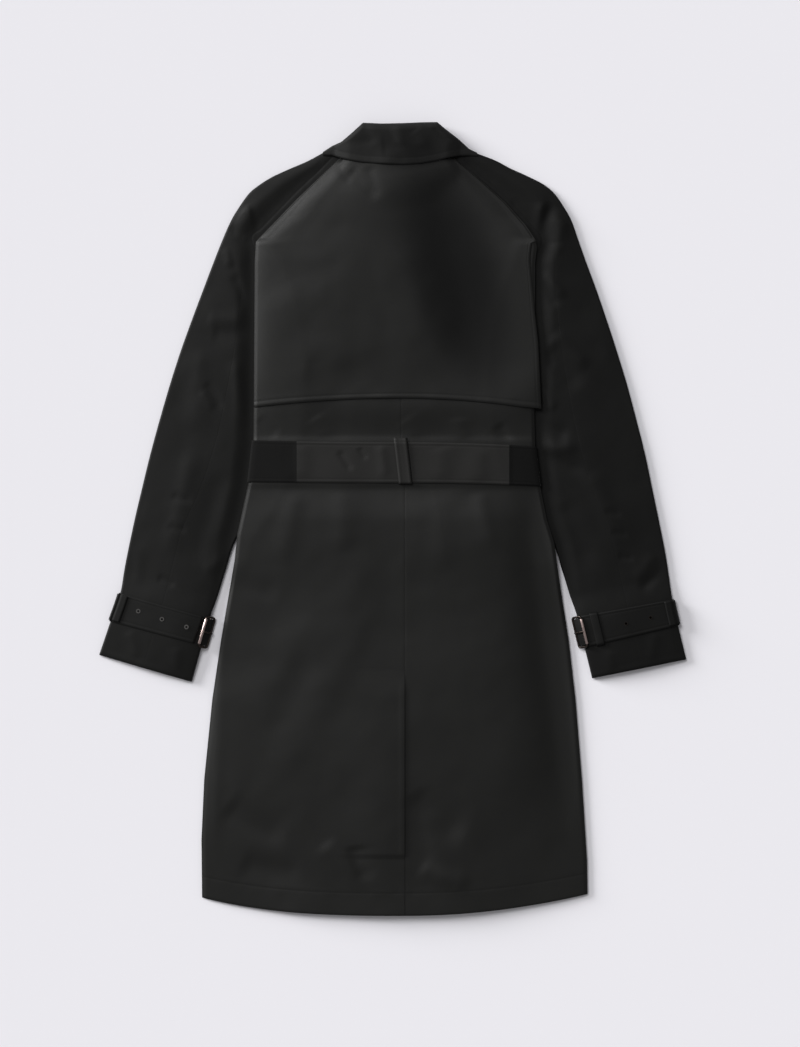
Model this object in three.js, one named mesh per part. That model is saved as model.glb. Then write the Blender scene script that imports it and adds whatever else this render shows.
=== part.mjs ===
// A belted trench coat with raglan sleeves, laid flat on its fronts with its back up.
// Millimetres. +Y runs from the hem to the collar, +X to the right arm's side of the picture,
// +Z up from the surface that the coat lies on.
import * as THREE from 'three';

// Cloth and seams
const CLOTH = 1.6;
const SEAM = 0.3;
const LAYER = CLOTH + SEAM;

// Belt, cuffs and small pieces
const BELT_ROUND_SIDE = 0.4;
const BELT_LOOP_WIDTH = 17;
const BELT_LOOP_OVER = 4;
const BELT_LOOP_RISE = 0.5;
const BELT_LOOP_SLACK = 0.8;
const BUTTON = { radius: 11, height: 2.6, x: 13 };
const BUTTON_HEIGHTS = [280, 190, -20, -120, -230];
const FRONT_BUCKLE = { length: 64, width: 56, bar: 6, height: 2.4, y: 70 };
const CUFF_BUCKLE = { length: 40, width: 16, bar: 2.6, tilt: 45, beyondEdge: 1.3, low: 7.2 };
const PRONG = { radius: 0.9, length: 14 };
const STRAP_END = { left: 12, right: 3 };
const STRAP_UNDER_END = 4;
const STRAP_LOOP_REACH = 12;
const KEEPER = { from: 24, to: 14 };
const LOOP_CLOTH = 1;

// The raglan seams: the sleeve's edge runs under the back, and the front's edge keeps clear of it
const RAGLAN_LAP = 4;
const RAGLAN_EASE = 2.6;
const FRONT_EASED_FROM = 7;

// How the layers stand over each other
const SLEEVE_HEIGHT = 5.2;
const OVER_SLEEVE = SLEEVE_HEIGHT + SEAM;
const LIFT_START = 46;
const LIFT_RUN = 24;
const LIFT_TOP = { y: 420, fade: 70 };
const LIFT_FOOT = { y: -110, fade: 60 };
const FRONT_PROP = 3;
const BUCKLE_PROP = 2.7;
const BACK_CROWN = 1.5;

// Centre line of the back, which leans a little: x at the neck and x from the waist down
const CENTRE = { neck: 10.6, waist: 15.3, neckY: 100, waistY: 40 };

// Half-widths of the body at its grid columns, as shares of the way from centre to edge
const SHARES = [0, 0.09, 0.2, 0.31, 0.43, 0.55, 0.66, 0.76, 0.86, 0.94, 1];
const LAST = SHARES.length - 1;

// Rows of the body from neck to hem: y at the centre and at each side edge
const ROWS = [
  { mid: 447, left: 452, right: 452 },
  { mid: 436, left: 438, right: 438 },
  { mid: 420, left: 421, right: 421 },
  { mid: 403, left: 403, right: 403 },
  { mid: 384, left: 384, right: 384 },
  { mid: 365, left: 365, right: 365 },
  { mid: 346, left: 346, right: 344.4 },
  { mid: 320, left: 320, right: 320 },
  { mid: 290, left: 290, right: 290 },
  { mid: 258, left: 258, right: 258 },
  { mid: 226, left: 226, right: 226 },
  { mid: 196, left: 194, right: 194 },
  { mid: 172, left: 164, right: 164 },
  { mid: 150, left: 139, right: 137, name: 'flapHem' },
  { mid: 122, left: 119, right: 115 },
  { mid: 95.2, left: 97.7, right: 89.9, name: 'beltTop' },
  { mid: 69.8, left: 71.6, right: 64.9 },
  { mid: 44.4, left: 45.6, right: 39.9, name: 'beltFoot' },
  { mid: 22, left: 23, right: 18 },
  { mid: -8, left: -8, right: -10 },
  { mid: -40, left: -38, right: -40 },
  { mid: -75, left: -73, right: -74 },
  { mid: -112, left: -110, right: -110 },
  { mid: -150, left: -146, right: -146 },
  { mid: -189.4, left: -183, right: -183, name: 'ventTop' },
  { mid: -226, left: -218, right: -218 },
  { mid: -262, left: -252, right: -252 },
  { mid: -298, left: -286, right: -286 },
  { mid: -334, left: -320, right: -320 },
  { mid: -370, left: -354, right: -354 },
  { mid: -406, left: -388, right: -386 },
  { mid: -440, left: -420, right: -417 },
  { mid: -470, left: -450, right: -446 },
  { mid: -496.3, left: -474.4, right: -470 },
];
const rowNamed = (name) => ROWS.findIndex((row) => row.name === name);
const FLAP_HEM = rowNamed('flapHem');
const BELT_TOP = rowNamed('beltTop');
const BELT_FOOT = rowNamed('beltFoot');
const VENT_TOP = rowNamed('ventTop');
const HEM = ROWS.length - 1;
const UNDERARM = 6;
const VENT_UNDERLAP = 2;
const FRONT_OVERLAP = 3;
const BUTTONED = { columns: 2, firstRow: 4 };

// Side edges of the body: the raglan seams down to y 346, then the side folds
const LEFT_EDGE = [
  { y: 452, x: -64 }, { y: 444.4, x: -72.2 }, { y: 400.6, x: -118.1 }, { y: 346, x: -170.6 },
  { y: 320, x: -172 }, { y: 139, x: -173.1 }, { y: 98, x: -173.5 }, { y: 45.6, x: -179.4 },
  { y: -20.6, x: -194 }, { y: -51.9, x: -197.1 }, { y: -101.9, x: -205.9 }, { y: -151.9, x: -214.5 },
  { y: -226.9, x: -225.5 }, { y: -326.9, x: -235.6 }, { y: -401.9, x: -239 }, { y: -474.4, x: -238.2 },
];
const RIGHT_EDGE = [
  { y: 452, x: 76 }, { y: 444.4, x: 84.2 }, { y: 424.9, x: 107.7 }, { y: 395.6, x: 140.7 },
  { y: 365.6, x: 166.9 }, { y: 344.4, x: 181 }, { y: 320, x: 178 }, { y: 133, x: 177 },
  { y: 90, x: 178 }, { y: 39.9, x: 184.4 }, { y: -1.9, x: 192.7 }, { y: -30.6, x: 202 },
  { y: -76.9, x: 208.7 }, { y: -151.9, x: 220.4 }, { y: -226.9, x: 229 }, { y: -326.9, x: 237 },
  { y: -426.9, x: 243.3 }, { y: -470, x: 244 },
];

// The hem's left half hangs fuller than its right half: the power of its bow grows down the skirt
const SKIRT_HANG = { from: -300, run: 150, left: 0.9 };

// How far the storm flap's free edge stands out past the body's right edge
const FLAP_OUT = [{ y: 330, out: -7 }, { y: 258, out: 0 }, { y: 220, out: 4.5 }, { y: 137, out: 9 }];

// Sleeve stations from neck to cuff: a point on the outer fold and one on the inner edge.
// closed tells how far the inner edge is a closed fold (0 along the raglan seam), base how high
// the sleeve's underside lies over the strap that passes under it.
const LEFT_SLEEVE = [
  { outX: -82, outY: 460.5, inX: -64, inY: 454, closed: 0, base: 0 },
  { outX: -106, outY: 447.5, inX: -87, inY: 430, closed: 0, base: 0 },
  { outX: -127.7, outY: 438.1, inX: -103, inY: 415, closed: 0, base: 0 },
  { outX: -149.6, outY: 428.1, inX: -118, inY: 400.6, closed: 0, base: 0 },
  { outX: -165.9, outY: 418.1, inX: -132.5, inY: 385.5, closed: 0, base: 0 },
  { outX: -179, outY: 407.5, inX: -146.5, inY: 371, closed: 0, base: 0 },
  { outX: -190.5, outY: 392, inX: -159, inY: 358, closed: 0, base: 0 },
  { outX: -202, outY: 373.1, inX: -170.6, inY: 346, closed: 0, base: 0 },
  { outX: -213.1, outY: 348.1, inX: -158, inY: 318, closed: 0.7, base: 0 },
  { outX: -225, outY: 318, inX: -146, inY: 291, closed: 1, base: 0 },
  { outX: -237.5, outY: 285, inX: -137, inY: 258, closed: 1, base: 0 },
  { outX: -251, outY: 249, inX: -131, inY: 222, closed: 1, base: 0 },
  { outX: -265, outY: 210, inX: -128, inY: 183, closed: 1, base: 0 },
  { outX: -278.5, outY: 168, inX: -129, inY: 143, closed: 1, base: 0 },
  { outX: -291.6, outY: 123, inX: -134, inY: 98, closed: 1, base: 0 },
  { outX: -303.3, outY: 80, inX: -148, inY: 52, closed: 1, base: 0 },
  { outX: -314, outY: 36, inX: -170, inY: 10, closed: 1, base: 0 },
  { outX: -322.5, outY: 0, inX: -196, inY: -27, closed: 1, base: 0 },
  { outX: -331, outY: -40, inX: -209, inY: -66, closed: 1, base: 0 },
  { outX: -336, outY: -66, inX: -219, inY: -98, closed: 1, base: 0 },
  { outX: -340.5, outY: -92.8, inX: -228.5, inY: -124.4, closed: 1, base: LAYER, name: 'strapTop' },
  { outX: -353, outY: -129.4, inX: -238.5, inY: -159.4, closed: 1, base: LAYER },
  { outX: -367.2, outY: -170.6, inX: -251.2, inY: -204.4, closed: 1, base: 0 },
];
const RIGHT_SLEEVE = [
  { outX: 99, outY: 459.5, inX: 76, inY: 453.5, closed: 0, base: 0 },
  { outX: 129, outY: 448.1, inX: 98, inY: 433, closed: 0, base: 0 },
  { outX: 147, outY: 438.5, inX: 112, inY: 421, closed: 0, base: 0 },
  { outX: 170, outY: 428.1, inX: 127, inY: 408, closed: 0, base: 0 },
  { outX: 189.3, outY: 418.1, inX: 141, inY: 395.3, closed: 0, base: 0 },
  { outX: 203, outY: 406.5, inX: 155, inY: 379.5, closed: 0, base: 0 },
  { outX: 214.5, outY: 390, inX: 168, inY: 364, closed: 0, base: 0 },
  { outX: 224, outY: 373, inX: 181.3, inY: 344.4, closed: 0, base: 0 },
  { outX: 233.5, outY: 346, inX: 170, inY: 318, closed: 0.7, base: 0 },
  { outX: 243.5, outY: 318, inX: 158, inY: 291, closed: 1, base: 0 },
  { outX: 255.3, outY: 286, inX: 149, inY: 258, closed: 1, base: 0 },
  { outX: 268, outY: 249, inX: 142, inY: 222, closed: 1, base: 0 },
  { outX: 281, outY: 209, inX: 139, inY: 183, closed: 1, base: 0 },
  { outX: 293.5, outY: 168, inX: 140, inY: 143, closed: 1, base: 0 },
  { outX: 305.5, outY: 123, inX: 145, inY: 98, closed: 1, base: 0 },
  { outX: 316.3, outY: 80, inX: 157, inY: 50, closed: 1, base: 0 },
  { outX: 325.5, outY: 36, inX: 177, inY: 8, closed: 1, base: 0 },
  { outX: 333, outY: 0, inX: 199, inY: -25, closed: 1, base: 0 },
  { outX: 341, outY: -40, inX: 212, inY: -64, closed: 1, base: 0 },
  { outX: 346, outY: -72, inX: 222, inY: -96, closed: 1, base: 0 },
  { outX: 350, outY: -100.6, inX: 230.8, inY: -121.9, closed: 1, base: LAYER, name: 'strapTop' },
  { outX: 357.5, outY: -134.4, inX: 240.5, inY: -161.9, closed: 1, base: LAYER },
  { outX: 367.8, outY: -176.3, inX: 249.8, inY: -199.9, closed: 1, base: 0 },
];
const SLEEVES = { left: LEFT_SLEEVE, right: RIGHT_SLEEVE };
const SLEEVE_SEAM = 0.47;
const STRAP_TOP = LEFT_SLEEVE.findIndex((station) => station.name === 'strapTop');

// Collar stations from left to right: its free edge, its folded top, and the levels of both leaves
const COLLAR = [
  { x: -87, low: 453.8, top: 458.4, level: 7.9, foot: 5.7 },
  { x: -75, low: 454, top: 466, level: 9.4, foot: 5.7 },
  { x: -64, low: 450, top: 470.5, level: 9.8, foot: 5.7 },
  { x: -50, low: 446.5, top: 482.5, level: 9.9, foot: 1 },
  { x: -37, low: 444.2, top: 494.5, level: 9.9, foot: 0 },
  { x: -14, low: 442.3, top: 493.4, level: 9.9, foot: 0 },
  { x: 12, low: 441.3, top: 493.8, level: 9.9, foot: 0 },
  { x: 35, low: 442.8, top: 495, level: 9.9, foot: 0 },
  { x: 56, low: 446.5, top: 495.5, level: 9.9, foot: 0 },
  { x: 66, low: 449.2, top: 487, level: 9.9, foot: 0 },
  { x: 84, low: 453.6, top: 473, level: 9.6, foot: 5.7 },
  { x: 96, low: 453.8, top: 462, level: 8.6, foot: 5.7 },
  { x: 106, low: 453, top: 457.4, level: 7.9, foot: 5.7 },
];
const COLLAR_RETURN = 0.33;
const COLLAR_ROUND_SHARE = 2.1;
const STAND = { inFromEdges: 9, lowest: 454.5 };

// The largest folds of the back and of the flap: a line, its half-width and its height
const FOLDS = [
  { x0: -20, y0: 425, x1: 70, y1: 300, width: 24, height: -0.9 },
  { x0: 70, y0: 300, x1: 140, y1: 165, width: 26, height: -1.1 },
  { x0: 60, y0: 425, x1: 118, y1: 320, width: 16, height: 1.2 },
  { x0: 118, y0: 320, x1: 150, y1: 190, width: 18, height: 1 },
  { x0: 120, y0: 10, x1: 165, y1: -110, width: 20, height: -1.1 },
  { x0: 165, y0: -110, x1: 215, y1: -330, width: 22, height: -1.2 },
  { x0: 90, y0: -60, x1: 140, y1: -280, width: 24, height: 0.9 },
  { x0: -105, y0: -165, x1: -20, y1: -60, width: 18, height: 0.9 },
  { x0: -60, y0: -180, x1: -75, y1: -430, width: 24, height: -0.8 },
  { x0: -190, y0: -100, x1: -200, y1: -380, width: 22, height: 1 },
];

const CLOTH_LOOK = { color: 0x242422, roughness: 0.86, metalness: 0 };
const BELT_LOOK = { color: 0x2b2929, roughness: 0.85, metalness: 0 };
const METAL_LOOK = { color: 0x6f675f, roughness: 0.35, metalness: 0.9 };
const BUTTON_LOOK = { color: 0x1b1a19, roughness: 0.45, metalness: 0 };

const coat = new THREE.Group();

function add(name, geometry, look) {
  const mesh = new THREE.Mesh(geometry, new THREE.MeshStandardMaterial(look));
  mesh.name = name;
  coat.add(mesh);
  return mesh;
}

function smooth(t) {
  const held = Math.min(Math.max(t, 0), 1);
  return held * held * (3 - 2 * held);
}

// Reads a column of a table whose rows run from high y to low y, in straight steps.
function readAt(table, y, heightColumn, valueColumn) {
  if (y >= table[0][heightColumn]) return table[0][valueColumn];
  for (let i = 1; i < table.length; i += 1) {
    const above = table[i - 1];
    const below = table[i];
    if (y >= below[heightColumn]) {
      const t = (above[heightColumn] - y) / (above[heightColumn] - below[heightColumn]);
      return above[valueColumn] + (below[valueColumn] - above[valueColumn]) * t;
    }
  }
  return table[table.length - 1][valueColumn];
}

function centreAt(y) {
  const t = (CENTRE.neckY - y) / (CENTRE.neckY - CENTRE.waistY);
  return CENTRE.neck + (CENTRE.waist - CENTRE.neck) * smooth(t);
}

// The body's grid: column 0 is the centre, negative columns lie to the left.
function planAt(column, row) {
  const share = SHARES[Math.abs(column)];
  const { mid, left, right } = ROWS[row];
  const side = column < 0 ? left : right;
  const hang = smooth((SKIRT_HANG.from - mid) / SKIRT_HANG.run);
  const bow = column < 0 ? 2 + SKIRT_HANG.left * hang : 2;
  const y = mid + (side - mid) * share ** bow;
  const edge = readAt(column < 0 ? LEFT_EDGE : RIGHT_EDGE, side, 'y', 'x');
  const x = centreAt(y) + (edge - centreAt(y)) * share;
  return { x, y };
}

// How far a point of the body is past the sleeve's inner edge, outwards.
function pastSleeveEdge(column, x, y) {
  if (column < 0) return readAt(LEFT_SLEEVE, y, 'inY', 'inX') - x;
  return x - readAt(RIGHT_SLEEVE, y, 'inY', 'inX');
}

function liftAt(column, x, y) {
  const across = smooth((pastSleeveEdge(column, x, y) + LIFT_START) / LIFT_RUN);
  const underCollar = smooth((LIFT_TOP.y - y) / LIFT_TOP.fade);
  const aboveGap = smooth((y - LIFT_FOOT.y) / LIFT_FOOT.fade);
  return OVER_SLEEVE * across * underCollar * aboveGap;
}

function foldsAt(x, y) {
  let height = 0;
  for (const fold of FOLDS) {
    const dx = fold.x1 - fold.x0;
    const dy = fold.y1 - fold.y0;
    const along = ((x - fold.x0) * dx + (y - fold.y0) * dy) / (dx * dx + dy * dy);
    const t = Math.min(Math.max(along, 0), 1);
    const away = Math.hypot(x - fold.x0 - dx * t, y - fold.y0 - dy * t);
    height += fold.height * Math.exp(-((away / fold.width) ** 2));
  }
  return height;
}

const inBelt = (row) => row >= BELT_TOP && row <= BELT_FOOT;

function frontBeltUnder(column, row) {
  const { x, y } = planAt(column, row);
  const overBuckle = Math.abs(column) <= BUTTONED.columns ? BUCKLE_PROP : 0;
  return liftAt(column, x, y) + overBuckle;
}

// Undersides of the layers at a grid point, from the surface up
function frontUnder(column, row) {
  const { x, y } = planAt(column, row);
  if (inBelt(row)) return frontBeltUnder(column, row) + LAYER;
  const overButtons = Math.abs(column) <= BUTTONED.columns && row >= BUTTONED.firstRow && row < HEM;
  return Math.max(liftAt(column, x, y), overButtons ? FRONT_PROP : 0);
}

function rightFrontUnder(column, row) {
  return frontUnder(column, row) + (column <= FRONT_OVERLAP ? LAYER : 0);
}

function backUnder(column, row) {
  const { x, y } = planAt(column, row);
  const share = SHARES[Math.abs(column)];
  const doubled = Math.abs(column) <= FRONT_OVERLAP ? LAYER : 0;
  const loose = 1 - share ** 4;
  const rise = (BACK_CROWN + foldsAt(x, y)) * loose;
  const under = frontUnder(column, row) + LAYER + doubled + Math.max(rise, 0);
  const overRaglan = OVER_SLEEVE * smooth((pastSleeveEdge(column, x, y) + LIFT_START) / LIFT_RUN);
  return row <= UNDERARM ? Math.max(under, overRaglan) : under;
}

function leftBackUnder(column, row) {
  const overUnderlap = row >= VENT_TOP && column >= -VENT_UNDERLAP ? LAYER : 0;
  return backUnder(column, row) + overUnderlap;
}

function flapUnder(column, row) {
  return backUnder(column, row) + LAYER;
}

function beltUnder(column, row) {
  return backUnder(column, row) + LAYER;
}

// A closed wall over some cells of the body's grid, CLOTH thick, from its underside up.
function gridWall(hasCell, under, shift) {
  const points = [];
  const faces = [];
  const numbers = new Map();
  const pointAt = (column, row, upper) => {
    const key = `${column},${row},${upper}`;
    if (!numbers.has(key)) {
      const plan = planAt(column, row);
      const x = plan.x + (shift ? shift(column, row) : 0);
      numbers.set(key, points.length / 3);
      points.push(x, plan.y, under(column, row) + (upper ? CLOTH : 0));
    }
    return numbers.get(key);
  };
  const quad = (a, b, c, d) => faces.push(a, b, c, a, c, d);
  for (let row = 0; row < HEM; row += 1) {
    for (let column = -LAST; column < LAST; column += 1) {
      if (!hasCell(column, row)) continue;
      const corners = [[column, row + 1], [column + 1, row + 1], [column + 1, row], [column, row]];
      const upper = corners.map(([c, r]) => pointAt(c, r, true));
      const lower = corners.map(([c, r]) => pointAt(c, r, false));
      quad(...upper);
      faces.push(lower[0], lower[2], lower[1], lower[0], lower[3], lower[2]);
      const neighbours = [[column, row + 1], [column + 1, row], [column, row - 1], [column - 1, row]];
      neighbours.forEach(([c, r], i) => {
        const inside = r >= 0 && r < HEM && c >= -LAST && c < LAST && hasCell(c, r);
        const next = (i + 1) % 4;
        if (!inside) quad(lower[i], lower[next], upper[next], upper[i]);
      });
    }
  }
  return toGeometry(points, faces);
}

function toGeometry(points, faces) {
  const geometry = new THREE.BufferGeometry();
  geometry.setAttribute('position', new THREE.Float32BufferAttribute(points, 3));
  geometry.setIndex(faces);
  geometry.computeVertexNormals();
  return geometry;
}

// A closed wall between two grids of points, outer and inner, with the same rows and columns.
function pairWall(outer, inner) {
  const rows = outer.length;
  const columns = outer[0].length;
  const points = [...outer.flat(), ...inner.flat()].flatMap((p) => [p.x, p.y, p.z]);
  const faces = [];
  const at = (row, column, layer) => layer * rows * columns + row * columns + column;
  const quad = (a, b, c, d) => faces.push(a, b, c, a, c, d);
  for (let row = 0; row < rows - 1; row += 1) {
    for (let column = 0; column < columns - 1; column += 1) {
      const [a, b] = [at(row, column, 0), at(row, column + 1, 0)];
      const [c, d] = [at(row + 1, column + 1, 0), at(row + 1, column, 0)];
      const [e, f] = [at(row, column, 1), at(row, column + 1, 1)];
      const [g, h] = [at(row + 1, column + 1, 1), at(row + 1, column, 1)];
      quad(d, c, b, a);
      faces.push(f, g, h, f, h, e);
      if (row === 0) quad(a, b, f, e);
      if (row === rows - 2) quad(d, h, g, c);
      if (column === 0) quad(a, e, h, d);
      if (column === columns - 2) quad(b, c, g, f);
    }
  }
  const geometry = toGeometry(points, faces);
  if (signedVolume(geometry) < 0) {
    const index = geometry.getIndex().array;
    for (let i = 0; i < index.length; i += 3) {
      [index[i + 1], index[i + 2]] = [index[i + 2], index[i + 1]];
    }
    geometry.computeVertexNormals();
  }
  return geometry;
}

function signedVolume(geometry) {
  const index = geometry.getIndex().array;
  const position = geometry.getAttribute('position');
  const corner = (i) => new THREE.Vector3().fromBufferAttribute(position, index[i]);
  let six = 0;
  for (let i = 0; i < index.length; i += 3) {
    six += corner(i).dot(corner(i + 1).cross(corner(i + 2)));
  }
  return six / 6;
}

// Body panels
const isLeft = (column) => column < 0;
const isVentCell = (column, row) => row >= VENT_TOP && column >= -VENT_UNDERLAP && column < 0;

function makeBody() {
  const seamShift = (side) => (column) => (column === 0 ? side * SEAM / 2 : 0);
  add('back_left', gridWall((c) => isLeft(c), leftBackUnder, seamShift(-1)), CLOTH_LOOK);
  const rightCells = (c, r) => !isLeft(c) || isVentCell(c, r);
  add('back_right', gridWall(rightCells, backUnder, seamShift(1)), CLOTH_LOOK);
  const frontShift = (column, row) => {
    const share = Math.max(0, Math.abs(column) - FRONT_EASED_FROM) / (LAST - FRONT_EASED_FROM);
    if (row > UNDERARM) return 0;
    return -Math.sign(column) * share * (RAGLAN_LAP + RAGLAN_EASE);
  };
  add('front_left', gridWall((c) => c < FRONT_OVERLAP, frontUnder, frontShift), CLOTH_LOOK);
  add('front_right', gridWall((c) => c >= -FRONT_OVERLAP, rightFrontUnder, frontShift), CLOTH_LOOK);
  const flapShift = (column, row) => {
    if (column !== LAST || row <= UNDERARM) return 0;
    return readAt(FLAP_OUT, ROWS[row].right, 'y', 'out');
  };
  add('storm_flap', gridWall((c, r) => r < FLAP_HEM, flapUnder, flapShift), CLOTH_LOOK);
}

// Belt: the back stretch bends round both sides, and the front stretch lies under the fronts.
function beltLine(row, outward) {
  const leftEdge = planAt(-LAST, row);
  const rightEdge = planAt(LAST, row);
  const clear = BELT_ROUND_SIDE + (outward ? CLOTH : 0);
  const sideFoot = (column) => frontUnder(column, row) - SEAM - (outward ? CLOTH : 0);
  const top = (column) => beltUnder(column, row) + (outward ? CLOTH : 0);
  const turned = (column) => {
    const inner = planAt(column - Math.sign(column), row);
    return new THREE.Vector3(inner.x + Math.sign(column) * SEAM, inner.y, sideFoot(column));
  };
  const line = [
    turned(-LAST),
    new THREE.Vector3(leftEdge.x - clear, leftEdge.y, sideFoot(-LAST)),
    new THREE.Vector3(leftEdge.x - clear, leftEdge.y, top(-LAST)),
  ];
  for (let column = -LAST + 1; column < LAST; column += 1) {
    const plan = planAt(column, row);
    line.push(new THREE.Vector3(plan.x, plan.y, top(column)));
  }
  line.push(
    new THREE.Vector3(rightEdge.x + clear, rightEdge.y, top(LAST)),
    new THREE.Vector3(rightEdge.x + clear, rightEdge.y, sideFoot(LAST)),
    turned(LAST),
  );
  return line;
}

function makeBelt() {
  const rows = [BELT_TOP, BELT_TOP + 1, BELT_FOOT];
  const outer = rows.map((row) => beltLine(row, true));
  const inner = rows.map((row) => beltLine(row, false));
  add('belt_back', pairWall(outer, inner), BELT_LOOK);
  const frontCells = (c, r) => r >= BELT_TOP && r < BELT_FOOT && c >= 1 - LAST && c < LAST - 1;
  add('belt_front', gridWall(frontCells, frontBeltUnder), BELT_LOOK);
}

function makeBeltLoop() {
  const beltTop = beltUnder(0, BELT_TOP) + CLOTH;
  const beltFoot = beltUnder(0, BELT_FOOT) + CLOTH;
  const upper = planAt(0, BELT_TOP);
  const lower = planAt(0, BELT_FOOT);
  const ground = (row) => backUnder(0, row) + CLOTH + SEAM;
  const ends = { top: upper.y + BELT_LOOP_OVER, foot: lower.y - BELT_LOOP_OVER };
  const profile = [
    { x: upper.x - 0.6, y: ends.top + CLOTH, z: ground(BELT_TOP) },
    { x: upper.x - 0.4, y: upper.y + 1, z: beltTop + SEAM },
    { x: (upper.x + lower.x) / 2, y: (upper.y + lower.y) / 2, z: (beltTop + beltFoot) / 2 + BELT_LOOP_SLACK },
    { x: lower.x + 0.4, y: lower.y - 1, z: beltFoot + SEAM },
    { x: lower.x + 0.6, y: ends.foot - CLOTH, z: ground(BELT_FOOT) },
  ];
  const half = BELT_LOOP_WIDTH / 2;
  const rowOf = (rise) => profile.map((p) => [-half, 0, half].map(
    (side) => new THREE.Vector3(p.x + side, p.y, p.z + BELT_LOOP_RISE + rise),
  ));
  add('belt_loop', pairWall(rowOf(CLOTH), rowOf(0)), BELT_LOOK);
}

// One sleeve section: points from the sleeve seam over the outer fold and back along the underside
// (front), or from the seam to the underarm fold (back). rise moves them out of the cloth.
const TOP_SHARES_FRONT = [0.3, 0.14];
const TOP_SHARES_BACK = [0.62, 0.76, 0.88];
const FOOT_SHARES = [0.14, 0.32, 0.5, 0.68, 0.85];
const OUTER_TURN = [90, 135, 180, 225, 270];
const INNER_TURN_BACK = [90, 50, 10, -18];
const INNER_TURN_FRONT = [-90, -30];

function sectionPoint(station, across, height) {
  const span = Math.hypot(station.inX - station.outX, station.inY - station.outY);
  const t = across / span;
  return new THREE.Vector3(
    station.outX + (station.inX - station.outX) * t,
    station.outY + (station.inY - station.outY) * t,
    station.base + height,
  );
}

function sleeveSpan(station) {
  const lapped = station.closed === 0 ? RAGLAN_LAP : 0;
  return Math.hypot(station.inX - station.outX, station.inY - station.outY) + lapped;
}

function outerTurn(station, rise) {
  const radius = SLEEVE_HEIGHT / 2;
  return OUTER_TURN.map((degrees) => {
    const angle = THREE.MathUtils.degToRad(degrees);
    const reach = radius + rise;
    return sectionPoint(station, radius + reach * Math.cos(angle), radius + reach * Math.sin(angle));
  });
}

// The underarm fold, which flattens into plain ends where the section is open.
function innerTurn(station, rise, turn, level) {
  const radius = SLEEVE_HEIGHT / 2;
  const span = sleeveSpan(station);
  return turn.map((degrees, i) => {
    const angle = THREE.MathUtils.degToRad(degrees);
    const reach = radius + rise;
    const round = {
      across: span - radius + reach * Math.cos(angle),
      height: radius + reach * Math.sin(angle),
    };
    const flatAcross = span - radius + (radius * i) / (turn.length - 1);
    const across = flatAcross + (round.across - flatAcross) * station.closed;
    const height = level + (round.height - level) * station.closed;
    return sectionPoint(station, across, height);
  });
}

function frontSection(station, rise) {
  const span = sleeveSpan(station);
  const top = SLEEVE_HEIGHT + rise;
  const seam = sectionPoint(station, span * SLEEVE_SEAM - SEAM / 2, top);
  return [
    seam,
    ...TOP_SHARES_FRONT.map((share) => sectionPoint(station, span * share, top)),
    ...outerTurn(station, rise),
    ...FOOT_SHARES.map((share) => sectionPoint(station, span * share, -rise)),
    ...innerTurn(station, rise, INNER_TURN_FRONT, -rise),
  ];
}

function backSection(station, rise) {
  const span = sleeveSpan(station);
  const top = SLEEVE_HEIGHT + rise;
  return [
    sectionPoint(station, span * SLEEVE_SEAM + SEAM / 2, top),
    ...TOP_SHARES_BACK.map((share) => sectionPoint(station, span * share, top)),
    ...innerTurn(station, rise, INNER_TURN_BACK, top),
  ];
}

function makeSleeve(side) {
  const stations = SLEEVES[side];
  const build = (section) => pairWall(
    stations.map((station) => section(station, 0)),
    stations.map((station) => section(station, -CLOTH)),
  );
  add(`sleeve_front_${side}`, build(frontSection), CLOTH_LOOK);
  add(`sleeve_back_${side}`, build(backSection), CLOTH_LOOK);
}

// Cuff strap: the sleeve's own section moved out, open at the inner edge where the buckle sits.
function strapSection(station, rise, side) {
  const span = sleeveSpan(station);
  const top = SLEEVE_HEIGHT + rise;
  return [
    sectionPoint(station, span - STRAP_END[side], top),
    ...TOP_SHARES_FRONT.map((share) => sectionPoint(station, span * share, top)),
    ...outerTurn(station, rise),
    ...FOOT_SHARES.map((share) => sectionPoint(station, span * share, -rise)),
    sectionPoint(station, span - STRAP_UNDER_END, -rise),
  ];
}

// A station part of the way between the strap's upper edge (0) and lower edge (1)
function between(side, t) {
  const upper = SLEEVES[side][STRAP_TOP];
  const lower = SLEEVES[side][STRAP_TOP + 1];
  const mix = (column) => upper[column] + (lower[column] - upper[column]) * t;
  return {
    outX: mix('outX'), outY: mix('outY'), inX: mix('inX'), inY: mix('inY'), closed: 1, base: LAYER,
  };
}

function makeCuff(side) {
  const edges = [between(side, 0.02), between(side, 0.98)];
  const ring = (rise) => edges.map((station) => strapSection(station, rise, side));
  add(`cuff_strap_${side}`, pairWall(ring(SEAM + CLOTH), ring(SEAM)), CLOTH_LOOK);
  const loopEdges = [between(side, 0.1), between(side, 0.9)];
  const loop = (rise) => loopEdges.map((station) => [
    sectionPoint(station, STRAP_LOOP_REACH, SLEEVE_HEIGHT + rise),
    ...outerTurn(station, rise).slice(0, 4),
  ]);
  const over = SEAM + LAYER;
  add(`strap_loop_${side}`, pairWall(loop(over + LOOP_CLOTH), loop(over)), CLOTH_LOOK);
  makeCuffBuckle(side);
}

function makeKeeper() {
  const edges = [between('right', 0.04), between('right', 0.96)];
  const band = (rise) => edges.map((station) => [KEEPER.from, KEEPER.to].map(
    (inset) => sectionPoint(station, sleeveSpan(station) - inset, SLEEVE_HEIGHT + rise),
  ));
  const over = SEAM + LAYER;
  add('keeper_right', pairWall(band(over + LOOP_CLOTH), band(over)), CLOTH_LOOK);
}

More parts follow.
